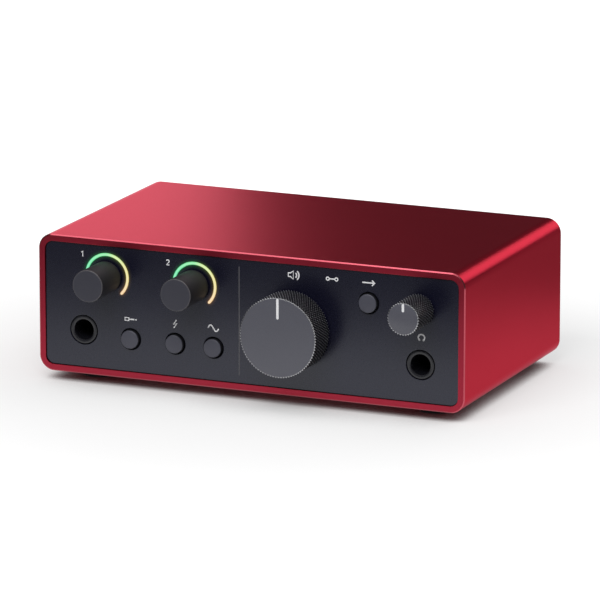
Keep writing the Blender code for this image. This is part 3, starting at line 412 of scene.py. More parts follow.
def level_group():
    """The colour round a level ring, and the ring's light painted as a glow on what lies near it."""
    group, start, end = shader_group(
        "level_colour",
        [("Centre", "NodeSocketVector", (0.0, 0.0, 0.0))],
        [("Color", "NodeSocketColor"), ("Glow", "NodeSocketColor")],
    )
    nodes, links = group.nodes, group.links
    place = nodes.new("ShaderNodeTexCoord")
    offset = nodes.new("ShaderNodeVectorMath")
    offset.operation = "SUBTRACT"
    links.new(place.outputs["Object"], offset.inputs[0])
    links.new(start.outputs["Centre"], offset.inputs[1])
    parts = nodes.new("ShaderNodeSeparateXYZ")
    links.new(offset.outputs[0], parts.inputs[0])
    x, z = parts.outputs["X"], parts.outputs["Z"]
    # Zero straight down, growing clockwise as seen from the front
    left = math_node(group, "MULTIPLY", x, -1.0)
    down = math_node(group, "MULTIPLY", z, -1.0)
    angle = math_node(group, "ARCTAN2", left, down)
    turn = math_node(group, "FRACT", math_node(group, "DIVIDE", angle, 2 * math.pi))
    past_start = math_node(group, "SUBTRACT", turn, RING_LOW_END)
    share = math_node(group, "DIVIDE", past_start, RING_SHARE, clamp=True)
    ramp = nodes.new("ShaderNodeValToRGB")
    ramp.color_ramp.interpolation = "EASE"
    stops = ramp.color_ramp.elements
    while len(stops) < len(LEVEL_COLOURS):
        stops.new(0.5)
    for stop, (position, colour) in zip(stops, LEVEL_COLOURS):
        stop.position = position
        stop.color = (*colour, 1.0)
    links.new(share, ramp.inputs[0])
    deep = colour_mix(group, "MULTIPLY", 1.0, ramp.outputs[0], ramp.outputs[0])
    square = math_node(group, "ADD", math_node(group, "MULTIPLY", x, x), math_node(group, "MULTIPLY", z, z))
    middle_radius, half_width = (RING_INNER + RING_OUTER) / 2, (RING_OUTER - RING_INNER) / 2
    past_middle = math_node(group, "SUBTRACT", math_node(group, "SQRT", square), middle_radius)
    from_ring = math_node(group, "ABSOLUTE", past_middle)
    # Pale along the middle of the ring, and deeper in colour towards its edges
    across = math_node(group, "DIVIDE", from_ring, half_width)
    edge = math_node(group, "SUBTRACT", across, PALE_SHARE, clamp=True)
    links.new(colour_mix(group, "MIX", edge, ramp.outputs[0], deep), end.inputs["Color"])
    away = math_node(group, "DIVIDE", from_ring, GLOW_REACH)
    near = math_node(group, "SUBTRACT", 1.0, away, clamp=True)
    # The open part of the ring, at the bottom, gives no light
    from_top = math_node(group, "ABSOLUTE", math_node(group, "SUBTRACT", turn, 0.5))
    inside = math_node(group, "SUBTRACT", GLOW_HALF_TURN, from_top)
    lit = math_node(group, "MULTIPLY", inside, GLOW_END_SLOPE, clamp=True)
    glow = math_node(group, "MULTIPLY", math_node(group, "POWER", near, GLOW_POWER), lit)
    deeper = colour_mix(group, "MULTIPLY", 1.0, deep, ramp.outputs[0])
    links.new(colour_mix(group, "MIX", glow, (0, 0, 0, 1), deeper), end.inputs["Glow"])
    return group


GRAIN = grain_group()
LEVEL = level_group()


# Materials

def finish_material(name, dark, light, rough, grain, bump, metallic=0.0, patch=PATCH_SCALE, **constants):
    """A surface whose colour drifts between two near shades and whose gloss and bump follow a fine grain.

    rough is (least, most), grain and bump are the size and the depth of the grain in metres,
    and patch is how many of the soft patches of colour go into a metre.
    """
    material = bpy.data.materials.new(name)
    material.use_nodes = True
    nodes, links = material.node_tree.nodes, material.node_tree.links
    shader = nodes["Principled BSDF"]
    shader.inputs["Metallic"].default_value = metallic
    for label, value in constants.items():
        shader.inputs[label.replace("_", " ").title().replace("Ior", "IOR")].default_value = value
    surface = nodes.new("ShaderNodeGroup")
    surface.node_tree = GRAIN
    surface.inputs["Grain Scale"].default_value = 1 / grain
    surface.inputs["Patch Scale"].default_value = patch
    colour = colour_mix(material.node_tree, "MIX", surface.outputs["Patch"], (*dark, 1), (*light, 1))
    links.new(colour, shader.inputs["Base Color"])
    gloss = nodes.new("ShaderNodeMapRange")
    gloss.inputs["From Min"].default_value = GRAIN_LOW
    gloss.inputs["From Max"].default_value = GRAIN_HIGH
    gloss.inputs["To Min"].default_value = rough[0]
    gloss.inputs["To Max"].default_value = rough[1]
    links.new(surface.outputs["Grain"], gloss.inputs["Value"])
    links.new(gloss.outputs["Result"], shader.inputs["Roughness"])
    relief = nodes.new("ShaderNodeBump")
    relief.inputs["Strength"].default_value = BUMP_STRENGTH
    relief.inputs["Distance"].default_value = bump
    links.new(surface.outputs["Grain"], relief.inputs["Height"])
    links.new(relief.outputs["Normal"], shader.inputs["Normal"])
    return material


def place_level(material, centre):
    """Puts the level colours round a centre into a material. Returns them and the socket they can light."""
    nodes = material.node_tree.nodes
    level = nodes.new("ShaderNodeGroup")
    level.node_tree = LEVEL
    level.inputs["Centre"].default_value = centre
    shader = nodes["Principled BSDF"]
    shader.inputs["Emission Strength"].default_value = 1.0
    return level.outputs, shader.inputs["Emission Color"]


def add_painted_level_glow(material, centre):
    """Painted light from a level ring on the surface round it: emission added to what the surface already
    gives out.
    """
    tree = material.node_tree
    level, given_out = place_level(material, centre)
    light = colour_mix(tree, "MULTIPLY", 1.0, level["Glow"], (GLOW_LEVEL, GLOW_LEVEL, GLOW_LEVEL, 1))
    if given_out.is_linked:
        light = colour_mix(tree, "ADD", 1.0, given_out.links[0].from_socket, light)
    tree.links.new(light, given_out)


def ring_material(name, centre):
    material = finish_material(name, (0.05, 0.06, 0.05), (0.07, 0.08, 0.07), (0.40, 0.48), 0.0004, 0.000004)
    level, given_out = place_level(material, centre)
    material.node_tree.links.new(level["Color"], given_out)
    return material


def add_worn_glinting_crests(material):
    """Lighter knurl tips, marked by an attribute: partly wear, partly a painted highlight for their glints.
    """
    tree = material.node_tree
    socket = tree.nodes["Principled BSDF"].inputs["Base Color"]
    crest = tree.nodes.new("ShaderNodeAttribute")
    crest.attribute_name = "crest"
    tip = math_node(tree, "POWER", crest.outputs["Fac"], CREST_POWER)
    tree.links.new(colour_mix(tree, "MIX", tip, socket.links[0].from_socket, (*CREST_WEAR_AND_GLINT_COLOUR, 1)), socket)


RED = finish_material(
    "red_anodised", (0.360, 0.020, 0.036), (0.392, 0.022, 0.040), (0.28, 0.33), 0.00022, 0.000005,
    metallic=1.0, patch=25.0, specular_tint=(0.90, 0.33, 0.40, 1), coat_weight=0.15, coat_roughness=0.28,
)
# The cut chamfer round the ends: glossier, and painted lighter and paler than the body as a painted
# highlight
RED_CUT_EDGE_LIT = finish_material(
    "red_cut_edge_highlight", (0.47, 0.086, 0.114), (0.53, 0.098, 0.130), (0.18, 0.24), 0.00018, 0.000002,
    metallic=1.0, patch=60.0,
)
RED_RIM = finish_material(
    "red_rim", (0.365, 0.028, 0.050), (0.395, 0.031, 0.055), (0.40, 0.46), 0.00022, 0.000004,
    metallic=1.0, patch=25.0,
)
PANEL = finish_material(
    "dark_panel", (0.0042, 0.0042, 0.0140), (0.0050, 0.0050, 0.0155), (0.25, 0.28), 0.00025, 0.0000012,
    specular_ior_level=0.66, specular_tint=(0.90, 0.92, 1.0, 1),
)
REAR_COAT = finish_material(
    "rear_powder_coat", (0.011, 0.011, 0.013), (0.015, 0.015, 0.017), (0.48, 0.62), 0.00035, 0.00003
)
# The side of a gain knob: its plastic painted darker than the face, as painted shade
SOFT_BLACK = finish_material(
    "soft_black", (0.014, 0.013, 0.017), (0.018, 0.017, 0.021), (0.46, 0.56), 0.00018, 0.000008,
    specular_ior_level=0.35,
)
GAIN_FACE = finish_material(
    "gain_face", (0.037, 0.037, 0.051), (0.042, 0.042, 0.057), (0.42, 0.50), 0.00018, 0.000006
)
KNOB_FACE = finish_material(
    "knob_face", (0.098, 0.099, 0.122), (0.108, 0.109, 0.132), (0.26, 0.32), 0.00016, 0.000004
)
KNURL = finish_material(
    "knurled_grip", (0.002, 0.002, 0.004), (0.003, 0.003, 0.006), (0.30, 0.38), 0.00020, 0.000003,
    specular_ior_level=0.2,
)
CUT_RIM = finish_material(
    "cut_rim", (0.34, 0.34, 0.36), (0.44, 0.44, 0.46), (0.20, 0.28), 0.00015, 0.000002,
    metallic=0.85, patch=400.0,
)
# The rounded edge of a gain knob's face: the knob's plastic painted much lighter, as a painted highlight
SOFT_EDGE_HIGHLIGHT = finish_material(
    "soft_edge_highlight", (0.085, 0.082, 0.090), (0.105, 0.102, 0.110), (0.22, 0.28), 0.00015, 0.000003
)
BUTTON = finish_material(
    "button_cap", (0.062, 0.063, 0.084), (0.070, 0.071, 0.094), (0.42, 0.52), 0.00018, 0.000008
)
# A button's side wall: its cap's plastic painted nearly black, as painted shade
BUTTON_SIDE_SHADE = finish_material(
    "button_side_shade", (0.008, 0.008, 0.011), (0.011, 0.011, 0.014), (0.46, 0.56), 0.00018, 0.000006
)
WHITE_INLAY = finish_material(
    "white_inlay", (0.93, 0.93, 0.95), (0.97, 0.97, 0.98), (0.40, 0.50), 0.00020, 0.000003
)
PRINT = finish_material(
    "white_print", (0.92, 0.92, 0.94), (0.97, 0.97, 0.98), (0.50, 0.60), 0.00012, 0.000002, patch=900.0
)
LINE = finish_material(
    "divider_line", (0.100, 0.096, 0.104), (0.120, 0.116, 0.124), (0.40, 0.50), 0.00015, 0.000002,
    patch=300.0,
)
JACK_PLASTIC = finish_material(
    "jack_plastic", (0.009, 0.009, 0.013), (0.013, 0.013, 0.018), (0.24, 0.32), 0.00025, 0.000004
)
BLACK_PLASTIC = finish_material(
    "black_plastic", (0.012, 0.012, 0.013), (0.017, 0.017, 0.018), (0.42, 0.54), 0.00030, 0.00001
)
RUBBER = finish_material(
    "foot_rubber", (0.014, 0.014, 0.015), (0.022, 0.022, 0.023), (0.72, 0.86), 0.00030, 0.00003
)
STEEL = finish_material(
    "plated_steel", (0.50, 0.50, 0.51), (0.58, 0.58, 0.60), (0.24, 0.36), 0.00020, 0.000006,
    metallic=1.0, patch=200.0,
)
ZINC = finish_material(
    "zinc_case", (0.46, 0.46, 0.47), (0.56, 0.56, 0.56), (0.36, 0.52), 0.00030, 0.00001,
    metallic=1.0, patch=260.0,
)
GOLD = finish_material(
    "gold_contact", (0.74, 0.52, 0.20), (0.82, 0.60, 0.26), (0.20, 0.32), 0.00020, 0.000004,
    metallic=1.0, patch=300.0,
)
BOARD = finish_material(
    "circuit_board", (0.012, 0.085, 0.030), (0.020, 0.120, 0.045), (0.34, 0.52), 0.00040, 0.00001,
    patch=160.0,
)
add_worn_glinting_crests(KNURL)
# The panel round each ring gets a painted glow of the ring's light
for number in GAIN_NUMBERS:
    x, z = on_front(f"gain_knob_{number}")
    add_painted_level_glow(PANEL, (x, 0, z))

# Solids that stay as they are, by finish
NODE_FINISHES = {
    BOARD: ("main_board", "control_board"),
    STEEL: (
        *(f"board_screw_{number}" for number in (1, 2, 3)),
        *(f"gain_shaft_{number}" for number in GAIN_NUMBERS),
        "output_shaft",
        "headphone_shaft",
    ),
    ZINC: ("gain_encoder_1", "gain_encoder_2", "output_pot", "headphone_pot"),
    GOLD: (
        *(f"mic_contact_{number}" for number in (1, 2, 3)),
        *(f"{jack}_spring" for jack in FRONT_JACKS + REAR_JACKS),
    ),
    BLACK_PLASTIC: ("board_link", "processor", "usb_tongue", *(f"{kind}_switch" for kind in BUTTON_KINDS)),
}
for finish, names in NODE_FINISHES.items():
    for name in names:
        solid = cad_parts[name]
        solid.data.materials.clear()
        solid.data.materials.append(finish)


# Modelling helpers

def put_piece(bm, name, finish, body, place=None, stands_for=(), smooth=SMOOTH_ANGLE):
    """Turns a bmesh into a finished piece on a body. Its place goes into its mesh."""
    mesh = bpy.data.meshes.new(name)
    bm.to_mesh(mesh)
    bm.free()
    put_mesh(mesh, name, finish, body, place, stands_for, smooth)


def put_mesh(mesh, name, finish, body, place=None, stands_for=(), smooth=SMOOTH_ANGLE):
    if place is not None:
        mesh.transform(place)
    for item in finish if isinstance(finish, tuple) else (finish,):
        mesh.materials.append(item)
    obj = bpy.data.objects.new(name, mesh)
    bpy.context.scene.collection.objects.link(obj)
    if smooth is None:
        mesh.shade_flat()
    else:
        mesh.shade_smooth()
        mesh.set_sharp_from_angle(angle=smooth)
        # Large flat faces keep their own direction, and only the small rounds between them are blended
        obj.modifiers.new("flat_faces", "WEIGHTED_NORMAL").keep_sharp = True
    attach(obj, body)
    if stands_for:
        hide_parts(*stands_for)


def outward(bm):
    bmesh.ops.remove_doubles(bm, verts=bm.verts, dist=WELD)
    bmesh.ops.recalc_face_normals(bm, faces=bm.faces)


def bevel(bm, geom, width, segments, affect, clamp):
    return bmesh.ops.bevel(
        bm,
        geom=geom,
        offset=width,
        offset_type="OFFSET",
        segments=segments,
        profile=0.5,
        affect=affect,
        material=-1,
        clamp_overlap=clamp,
    )


def soften(bm, edges, width, segments=3):
    """Rounds edges, or with one segment chamfers them. Returns the new faces."""
    return bevel(bm, edges, width, segments, "EDGES", True)["faces"]


def spin_line(bm, points, steps):
    """Spins a line of (radius, z) points once round z."""
    verts = [bm.verts.new((radius, 0, z)) for radius, z in points]
    edges = [bm.edges.new(pair) for pair in zip(verts, verts[1:])]
    bmesh.ops.spin(
        bm,
        geom=verts + edges,
        cent=(0, 0, 0),
        axis=(0, 0, 1),
        angle=2 * math.pi,
        steps=steps,
        use_merge=True,
    )


def turned(profile, steps=FINE):
    """A turned piece about z, from (radius, z) points that run down its outer side."""
    bm = bmesh.new()
    spin_line(bm, profile, steps)
    outward(bm)
    return bm


def sharp_rings(bm, low, high):
    """The edges of a turned piece that run round it at a corner, between two heights."""
    found = []
    for edge in bm.edges:
        first, second = (vert.co.z for vert in edge.verts)
        level = abs(first - second) <= WELD and low <= first <= high
        if level and edge.calc_face_angle(0) > CORNER_ANGLE:
            found.append(edge)
    return found


def ring_loop(bm, radius, z, centre=(0, 0), steps=MEDIUM):
    """The edges of a circle."""
    place = Matrix.Translation((*centre, z))
    circle = bmesh.ops.create_circle(bm, cap_ends=False, segments=steps, radius=radius, matrix=place)
    return list(dict.fromkeys(edge for vert in circle["verts"] for edge in vert.link_edges))


def box_loop(bm, width, height, radius, z, centre, segments=8):
    """The edges of a rectangle with round corners."""
    corners = bmesh.ops.create_grid(bm, x_segments=1, y_segments=1, size=UNIT_HALF)["verts"]
    bmesh.ops.scale(bm, verts=corners, vec=(width, height, 1))
    bmesh.ops.translate(bm, verts=corners, vec=(*centre, z))
    face = bevel(bm, corners, radius, segments, "VERTICES", False)["verts"][0].link_faces[0]
    edges = list(face.edges)
    bmesh.ops.delete(bm, geom=[face], context="FACES_ONLY")
    return edges


def arc_loop(bm, inner, outer, z, centre):
    """The edges of a light ring's outline: a point swept out along one side and back along the other."""
    middle_radius = (inner + outer) / 2

    def at(angle, radius):
        return centre[0] + radius * math.cos(angle), centre[1] + radius * math.sin(angle)

    first = tip = bm.verts.new((*at(RING_START, outer), z))
    runs = [
        (centre, RING_SWEEP, MEDIUM),
        (at(RING_START + RING_SWEEP, middle_radius), math.pi, RING_END_STEPS),
        (centre, -RING_SWEEP, MEDIUM),
        (at(RING_START, middle_radius), math.pi, RING_END_STEPS),
    ]
    for pivot, angle, steps in runs:
        last = bmesh.ops.spin(
            bm,
            geom=[tip],
            cent=(*pivot, z),
            axis=(0, 0, 1),
            angle=angle,
            steps=steps,
            use_duplicate=False,
        )["geom_last"]
        tip = next(item for item in last if isinstance(item, bmesh.types.BMVert))
    bmesh.ops.weld_verts(bm, targetmap={tip: first})
    edges, todo = [], [first]
    while todo:
        vert = todo.pop()
        for edge in vert.link_edges:
            if edge not in edges:
                edges.append(edge)
                todo.append(edge.other_vert(vert))
    return edges


def fill(bm, *loops):
    """Fills between loops in one plane."""
    edges = [edge for loop in loops for edge in loop]
    bmesh.ops.triangle_fill(bm, use_beauty=True, edges=edges)


def cap(bm, edges):
    """Closes a rim with one face."""
    bmesh.ops.edgeloop_fill(bm, edges=edges)


def pull(bm, edges, shift):
    """Extrudes a rim by a shift along z, or by a function that moves each point. Returns the new rim."""
    made = bmesh.ops.extrude_edge_only(bm, edges=edges)["geom"]
    verts = [item for item in made if isinstance(item, bmesh.types.BMVert)]
    for vert in verts:
        if callable(shift):
            shift(vert)
        else:
            vert.co.z += shift
    new_edges = [item for item in made if isinstance(item, bmesh.types.BMEdge)]
    return [edge for edge in new_edges if edge.verts[0] in verts and edge.verts[1] in verts]


def close_between(bm, loop, base):
    """Finishes a piece that is open at a loop and at the base pulled from it."""
    fill(bm, loop)
    fill(bm, base)
    outward(bm)


def follow(bm, edges, centre, path):
    """Takes a round rim along a path of (radius, z) points. Returns the last rim."""
    middle_point = Vector(centre)
    for radius, z in path:

        def move(vert, radius=radius, z=z):
            across = (vert.co.xy - middle_point).normalized()
            vert.co.xy = middle_point + across * radius
            vert.co.z = z

        edges = pull(bm, edges, move)
    return edges


def grow_box(width, height, radius, amount, z):
    """A function that moves a point of a panel's outline outwards by an amount, to a height z."""
    half = Vector((width / 2 - radius, height / 2 - radius))
    middle_point = Vector(PANEL_CENTRE)

    def move(vert):
        point = vert.co.xy - middle_point
        corner = Vector((max(-half.x, min(half.x, point.x)), max(-half.y, min(half.y, point.y))))
        across = (point - corner).normalized()
        vert.co.xy = vert.co.xy + across * amount
        vert.co.z = z

    return move


# Case

def make_sleeve():
    bm = bmesh.new()
    bmesh.ops.create_cube(bm, size=1.0)
    bmesh.ops.scale(bm, verts=bm.verts, vec=sleeve_high - sleeve_low)
    bmesh.ops.translate(bm, verts=bm.verts, vec=SLEEVE_CENTRE)
    long_edges = [edge for edge in bm.edges if abs(edge.verts[0].co.y - edge.verts[1].co.y) > CORNER_RADIUS]
    soften(bm, long_edges, CORNER_RADIUS, CORNER_STEPS)
    ends = [face for face in bm.faces if abs(face.normal.y) > END_SHARE]
    bmesh.ops.delete(bm, geom=ends, context="FACES_ONLY")
    bmesh.ops.recalc_face_normals(bm, faces=bm.faces)
    bmesh.ops.solidify(bm, geom=bm.faces[:], thickness=SLEEVE_WALL)
    bmesh.ops.recalc_face_normals(bm, faces=bm.faces)
    outer, inner = [], []
    for edge in bm.edges:
        rims = [face for face in edge.link_faces if abs(face.normal.y) > END_SHARE]
        walls = [face for face in edge.link_faces if abs(face.normal.y) < 1 - END_SHARE]
        if len(rims) != 1 or len(walls) != 1:
            continue
        side = walls[0].calc_center_median() - SLEEVE_CENTRE
        side.y = 0
        (outer if walls[0].normal.dot(side) > 0 else inner).append(edge)
    # The chamfer takes the cut edge's finish and its painted highlight
    for face in soften(bm, outer, SLEEVE_CHAMFER, 1):
        face.material_index = 1
    inner = [edge for edge in inner if edge.is_valid]
    soften(bm, inner, INNER_EDGE, 2)
    bm.normal_update()
    for face in bm.faces:
        if face.normal.y < -RIM_SHARE:
            face.material_index = 2
    finish = (RED, RED_CUT_EDGE_LIT, RED_RIM)
    put_piece(bm, "sleeve_shell", finish, "case", None, ["case_sleeve"], SLEEVE_SMOOTH_ANGLE)


def make_feet():
    for name in FEET:
        low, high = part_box(name)
        radius = (high.x - low.x) / 2
        profile = [
            (0, high.z),
            (radius, high.z),
            (radius, low.z + FOOT_TAPER_HEIGHT),
            (radius - FOOT_TAPER, low.z),
            (0, low.z),
        ]
        bm = turned(profile, MEDIUM)
        soften(bm, sharp_rings(bm, low.z - NEAR, low.z + FOOT_TAPER_HEIGHT + NEAR), FOOT_ROUND)
        point = middle(name)
        place = Matrix.Translation((point.x, point.y, 0))
        put_piece(bm, name.replace("foot", "foot_pad"), RUBBER, "case", place, [name])


# End panels
# A plate's loops are pairs: an outline on its face, and the same one on its back

def start_plate(bm, face, back):
    """A panel's outer edge with a fine round. Returns its pair of loops."""
    size = (PANEL_WIDTH - 2 * PLATE_EDGE, PANEL_HEIGHT - 2 * PLATE_EDGE, PANEL_RADIUS - PLATE_EDGE)
    outline = rim = box_loop(bm, *size, face, PANEL_CENTRE)
    bend = PLATE_EDGE * LIP_BEND
    for amount, z in ((PLATE_EDGE - bend, face - bend), (bend, face - PLATE_EDGE), (0, back)):
        rim = pull(bm, rim, grow_box(*size, amount, z))
    return outline, rim


def drill(bm, loops, centre, radius, face, path):
    """A round hole through a plate, from its rim on the face along a path of (radius, z) points."""
    rim = ring_loop(bm, radius, face, centre)
    loops.append((rim, follow(bm, rim, centre, path)))


def lipped_hole(bm, loops, centre, radius, face, back):
    """A round hole with a rounded lip."""
    bend = LIP * LIP_BEND
    path = [(radius + bend, face - bend), (radius, face - LIP), (radius, back)]
    drill(bm, loops, centre, radius + LIP, face, path)


def finish_plate(bm, loops):
    for side in zip(*loops):
        fill(bm, *side)
    outward(bm)


def make_front_panel():
    bm = bmesh.new()
    face, back = FRONT_FACE, FRONT_FACE - FRONT_THICKNESS
    loops = [start_plate(bm, face, back)]
    for kind in BUTTON_KINDS:
        lipped_hole(bm, loops, on_front(f"{kind}_switch"), BUTTON_RADIUS + BUTTON_HOLE_GAP, face, back)
    for jack in FRONT_JACKS:
        lipped_hole(bm, loops, socket_axis(jack, on_front), JACK_BARREL + SOCKET_HOLE_GAP, face, back)
    for knob in ("gain_knob_1", "gain_knob_2", "output_knob", "headphone_knob"):
        drill(bm, loops, on_front(knob), SHAFT_HOLE, face, [(SHAFT_HOLE, back)])
    for number in GAIN_NUMBERS:
        centre = on_front(f"gain_knob_{number}")
        slot = arc_loop(bm, RING_INNER - RING_SLOT_GAP, RING_OUTER + RING_SLOT_GAP, face, centre)
        loops.append((slot, pull(bm, slot, back - face)))
    finish_plate(bm, loops)
    put_piece(bm, "front_plate", PANEL, "case", FRONT, ["front_panel"], PLATE_SMOOTH_ANGLE)


def make_rear_panel():
    bm = bmesh.new()
    face, back = REAR_FACE, REAR_FACE - REAR_THICKNESS
    loops = [start_plate(bm, face, back)]
    mic_axis = socket_axis("mic_socket", on_rear, MIC_HOUSING_HALF)
    lipped_hole(bm, loops, mic_axis, MIC_BARREL + SOCKET_HOLE_GAP, face, back)
    for jack in REAR_JACKS:
        lipped_hole(bm, loops, socket_axis(jack, on_rear), JACK_BARREL + SOCKET_HOLE_GAP, face, back)
    for number in REAR_SCREWS:
        path = [(SCREW_HOLE, face - SCREW_SINK), (SCREW_HOLE, back)]
        drill(bm, loops, on_rear(f"rear_screw_{number}"), SCREW_HEAD + SCREW_GAP, face, path)
    low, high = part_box("usb_shell")
    width, height = high.x - low.x + 2 * SOCKET_HOLE_GAP, high.z - low.z + 2 * SOCKET_HOLE_GAP
    usb = (width, height, height / 2 * ROUND_END)
    for size, centre in ((usb, on_rear("usb_shell")), (LOCK_SLOT, LOCK_SLOT_CENTRE)):
        loop = box_loop(bm, *size, face, centre)
        loops.append((loop, pull(bm, loop, back - face)))
    finish_plate(bm, loops)
    put_piece(bm, "rear_plate", REAR_COAT, "case", REAR, ["rear_panel"], PLATE_SMOOTH_ANGLE)


def make_rear_screws():
    for number in REAR_SCREWS:
        node = f"rear_screw_{number}"
        low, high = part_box(node)
        face = high.y - REAR_EDGE
        bm = bmesh.new()
        rim = ring_loop(bm, SCREW_HEAD - SCREW_EDGE, face, (0, 0), SCREW_STEPS)
        drive = ring_loop(bm, DRIVE_RADIUS, face, (0, 0), DRIVE_SIDES)
        fill(bm, rim, drive)
        body = [
            (SCREW_HEAD, face - SCREW_EDGE),
            (SCREW_SHANK, face - SCREW_SINK),
            (SCREW_SHANK, low.y - REAR_EDGE),
        ]
        cap(bm, follow(bm, rim, (0, 0), body))
        hollow = [(DRIVE_FLOOR_RADIUS, face - SCREW_EDGE), (DRIVE_FLOOR_RADIUS, face - DRIVE_DEPTH)]
        cap(bm, follow(bm, drive, (0, 0), hollow))
        outward(bm)
        place = REAR @ Matrix.Translation((*on_rear(node), 0))
        put_piece(bm, f"screw_head_{number}", STEEL, "case", place, [node])


def make_light_rings():
    for number in GAIN_NUMBERS:
        name = f"level_ring_{number}"
        centre = on_front(f"gain_knob_{number}")
        finish = ring_material(name, (centre[0], 0, centre[1]))
        bm = bmesh.new()
        top = FRONT_FACE + RING_PROUD
        crown = arc_loop(bm, RING_INNER + RING_EDGE_INSET, RING_OUTER - RING_EDGE_INSET, top, centre)
        side = arc_loop(bm, RING_INNER, RING_OUTER, top - RING_EDGE_DROP, centre)
        bmesh.ops.bridge_loops(bm, edges=crown + side)
        close_between(bm, crown, pull(bm, side, -RING_DEPTH))
        put_piece(bm, name, finish, "case", FRONT, [f"halo_guide_{number}"])


# Knobs and buttons

def shaft_bore(shaft):
    """The radius of a knob's blind bore, and how far it reaches, from the shaft in it."""
    radius, _, tip = node_span(shaft)
    return radius + BORE_GAP, tip + BORE_GAP


def make_gain_knobs():
    for number in GAIN_NUMBERS:
        node = f"gain_knob_{number}"
        radius, back, face = node_span(node)
        bore, end = shaft_bore(f"gain_shaft_{number}")
        bm = turned([(0, face), (radius, face), (radius, back), (bore, back), (bore, end), (0, end)])
        # The rounded face edge takes the painted highlight
        for edge_face in soften(bm, sharp_rings(bm, face - NEAR, face), GAIN_EDGE, 2):
            edge_face.material_index = 1
        back_rings = sharp_rings(bm, back, back + NEAR)
        outer_ring = [edge for edge in back_rings if edge.verts[0].co.xy.length > (bore + radius) / 2]
        soften(bm, outer_ring, GAIN_BACK_EDGE, 2)
        # The end face keeps the lighter shade of the plastic; the side gets the darker one, as painted
        # shade
        for end_face in bm.faces:
            if all(vert.co.z > face - TOUCH for vert in end_face.verts):
                end_face.material_index = 2
        finish = (SOFT_BLACK, SOFT_EDGE_HIGHLIGHT, GAIN_FACE)
        put_piece(bm, f"gain_cap_{number}", finish, f"gain_{number}", front_at(node), [node])


def make_knurled_knob(kind):
    """A knob with a diamond knurl: the grip, the disc in its end, and the white line in the disc."""
    node = f"{kind}_knob"
    radius, back, face = node_span(node)
    top, bottom = face - RIM_HEIGHTS[kind], back + KNURL_FOOT
    columns = 2 * round(2 * math.pi * radius / KNURL_PITCH)
    rows = 2 * round((top - bottom) / KNURL_LENGTH)
    bm = bmesh.new()
    crest = bm.verts.layers.float.new("crest")
    spin_line(bm, [(radius, top - (top - bottom) * row / rows) for row in range(rows + 1)], columns)
    for vert in bm.verts:
        column = round(math.atan2(vert.co.y, vert.co.x) / (2 * math.pi) * columns)
        row = round((top - vert.co.z) / (top - bottom) * rows)
        if (column + row) % 2:
            vert.co.xy *= (radius - KNURL_DEPTH) / radius
        else:
            vert[crest] = 1.0
    bmesh.ops.triangulate(bm, faces=bm.faces[:], quad_method="SHORT_EDGE")
    rims = [edge for edge in bm.edges if edge.is_boundary]
    upper = [edge for edge in rims if edge.verts[0].co.z > (top + bottom) / 2]
    lower = [edge for edge in rims if edge.verts[0].co.z < (top + bottom) / 2]
    inner, plate = radius - KNURL_DEPTH - KNURL_LAND, face - FACE_INSET
    band = follow(bm, upper, (0, 0), [(inner, plate)])
    for edge in band:
        edge.link_faces[0].material_index = 1
    cap(bm, follow(bm, band, (0, 0), [(inner, top - FACE_POCKET)]))
    bore, end = shaft_bore(f"{kind}_shaft")
    cap(bm, follow(bm, lower, (0, 0), [(inner - KNURL_FOOT, back), (bore, back), (bore, end)]))
    outward(bm)
    place = front_at(node)
    put_piece(bm, f"{kind}_grip", (KNURL, CUT_RIM), kind, place, [node], None)

    disc, base = inner - FACE_GAP, top - FACE_DEPTH
    bm = turned([(0, plate), (disc, plate), (disc, base), (0, base)], 2 * FINE)
    soften(bm, sharp_rings(bm, plate - NEAR, plate), FACE_EDGE, 2)
    put_piece(bm, f"{kind}_face", KNOB_FACE, kind, place, ())

    bm = bmesh.new()
    inner_end = radius - POINTER_LENGTHS[kind]
    size = (POINTER_WIDTH, inner - inner_end, POINTER_WIDTH / 2 * ROUND_END)
    line = box_loop(bm, *size, plate + POINTER_PROUD, (0, (inner + inner_end) / 2), POINTER_STEPS)
    close_between(bm, line, pull(bm, line, -POINTER_DEPTH))
    put_piece(bm, f"{kind}_line", WHITE_INLAY, kind, place, [f"{kind}_pointer"])


def make_buttons():
    seat = FRONT_FACE - FRONT_THICKNESS - SEAT_GAP
    for kind in BUTTON_KINDS:
        node = f"{kind}_button"
        flange, back, face = node_span(node)
        profile = [
            (0, face),
            (BUTTON_RADIUS, face),
            (BUTTON_RADIUS, seat),
            (flange, seat),
            (flange, seat - BUTTON_FLANGE),
            (BUTTON_STEM, seat - BUTTON_FLANGE),
            (BUTTON_STEM, back),
            (0, back),
        ]
        bm = turned(profile, MEDIUM)
        soften(bm, sharp_rings(bm, face - NEAR, face), BUTTON_EDGE, 4)
        # The side wall is painted darker than the face, as painted shade
        for side in bm.faces:
            if all(vert.co.z < face - BUTTON_EDGE + TOUCH for vert in side.verts):
                side.material_index = 1
        put_piece(bm, f"{kind}_cap", (BUTTON, BUTTON_SIDE_SHADE), kind, front_at(node), [node])


# Sockets

def start_housing(bm, node, half, corner, seat, face, axis, barrel):
    """A socket's housing, from its seat behind a panel to its back. Returns its barrel's rim."""
    low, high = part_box(node)
    centre = (axis[0], (high.z + low.z) / 2)
    outline = box_loop(bm, 2 * half, high.z - low.z, corner, seat, centre, HOUSING_STEPS)
    rim = ring_loop(bm, barrel, seat, axis, FINE)
    fill(bm, outline, rim)
    cap(bm, pull(bm, outline, face - (high.y - low.y) - seat))
    return rim


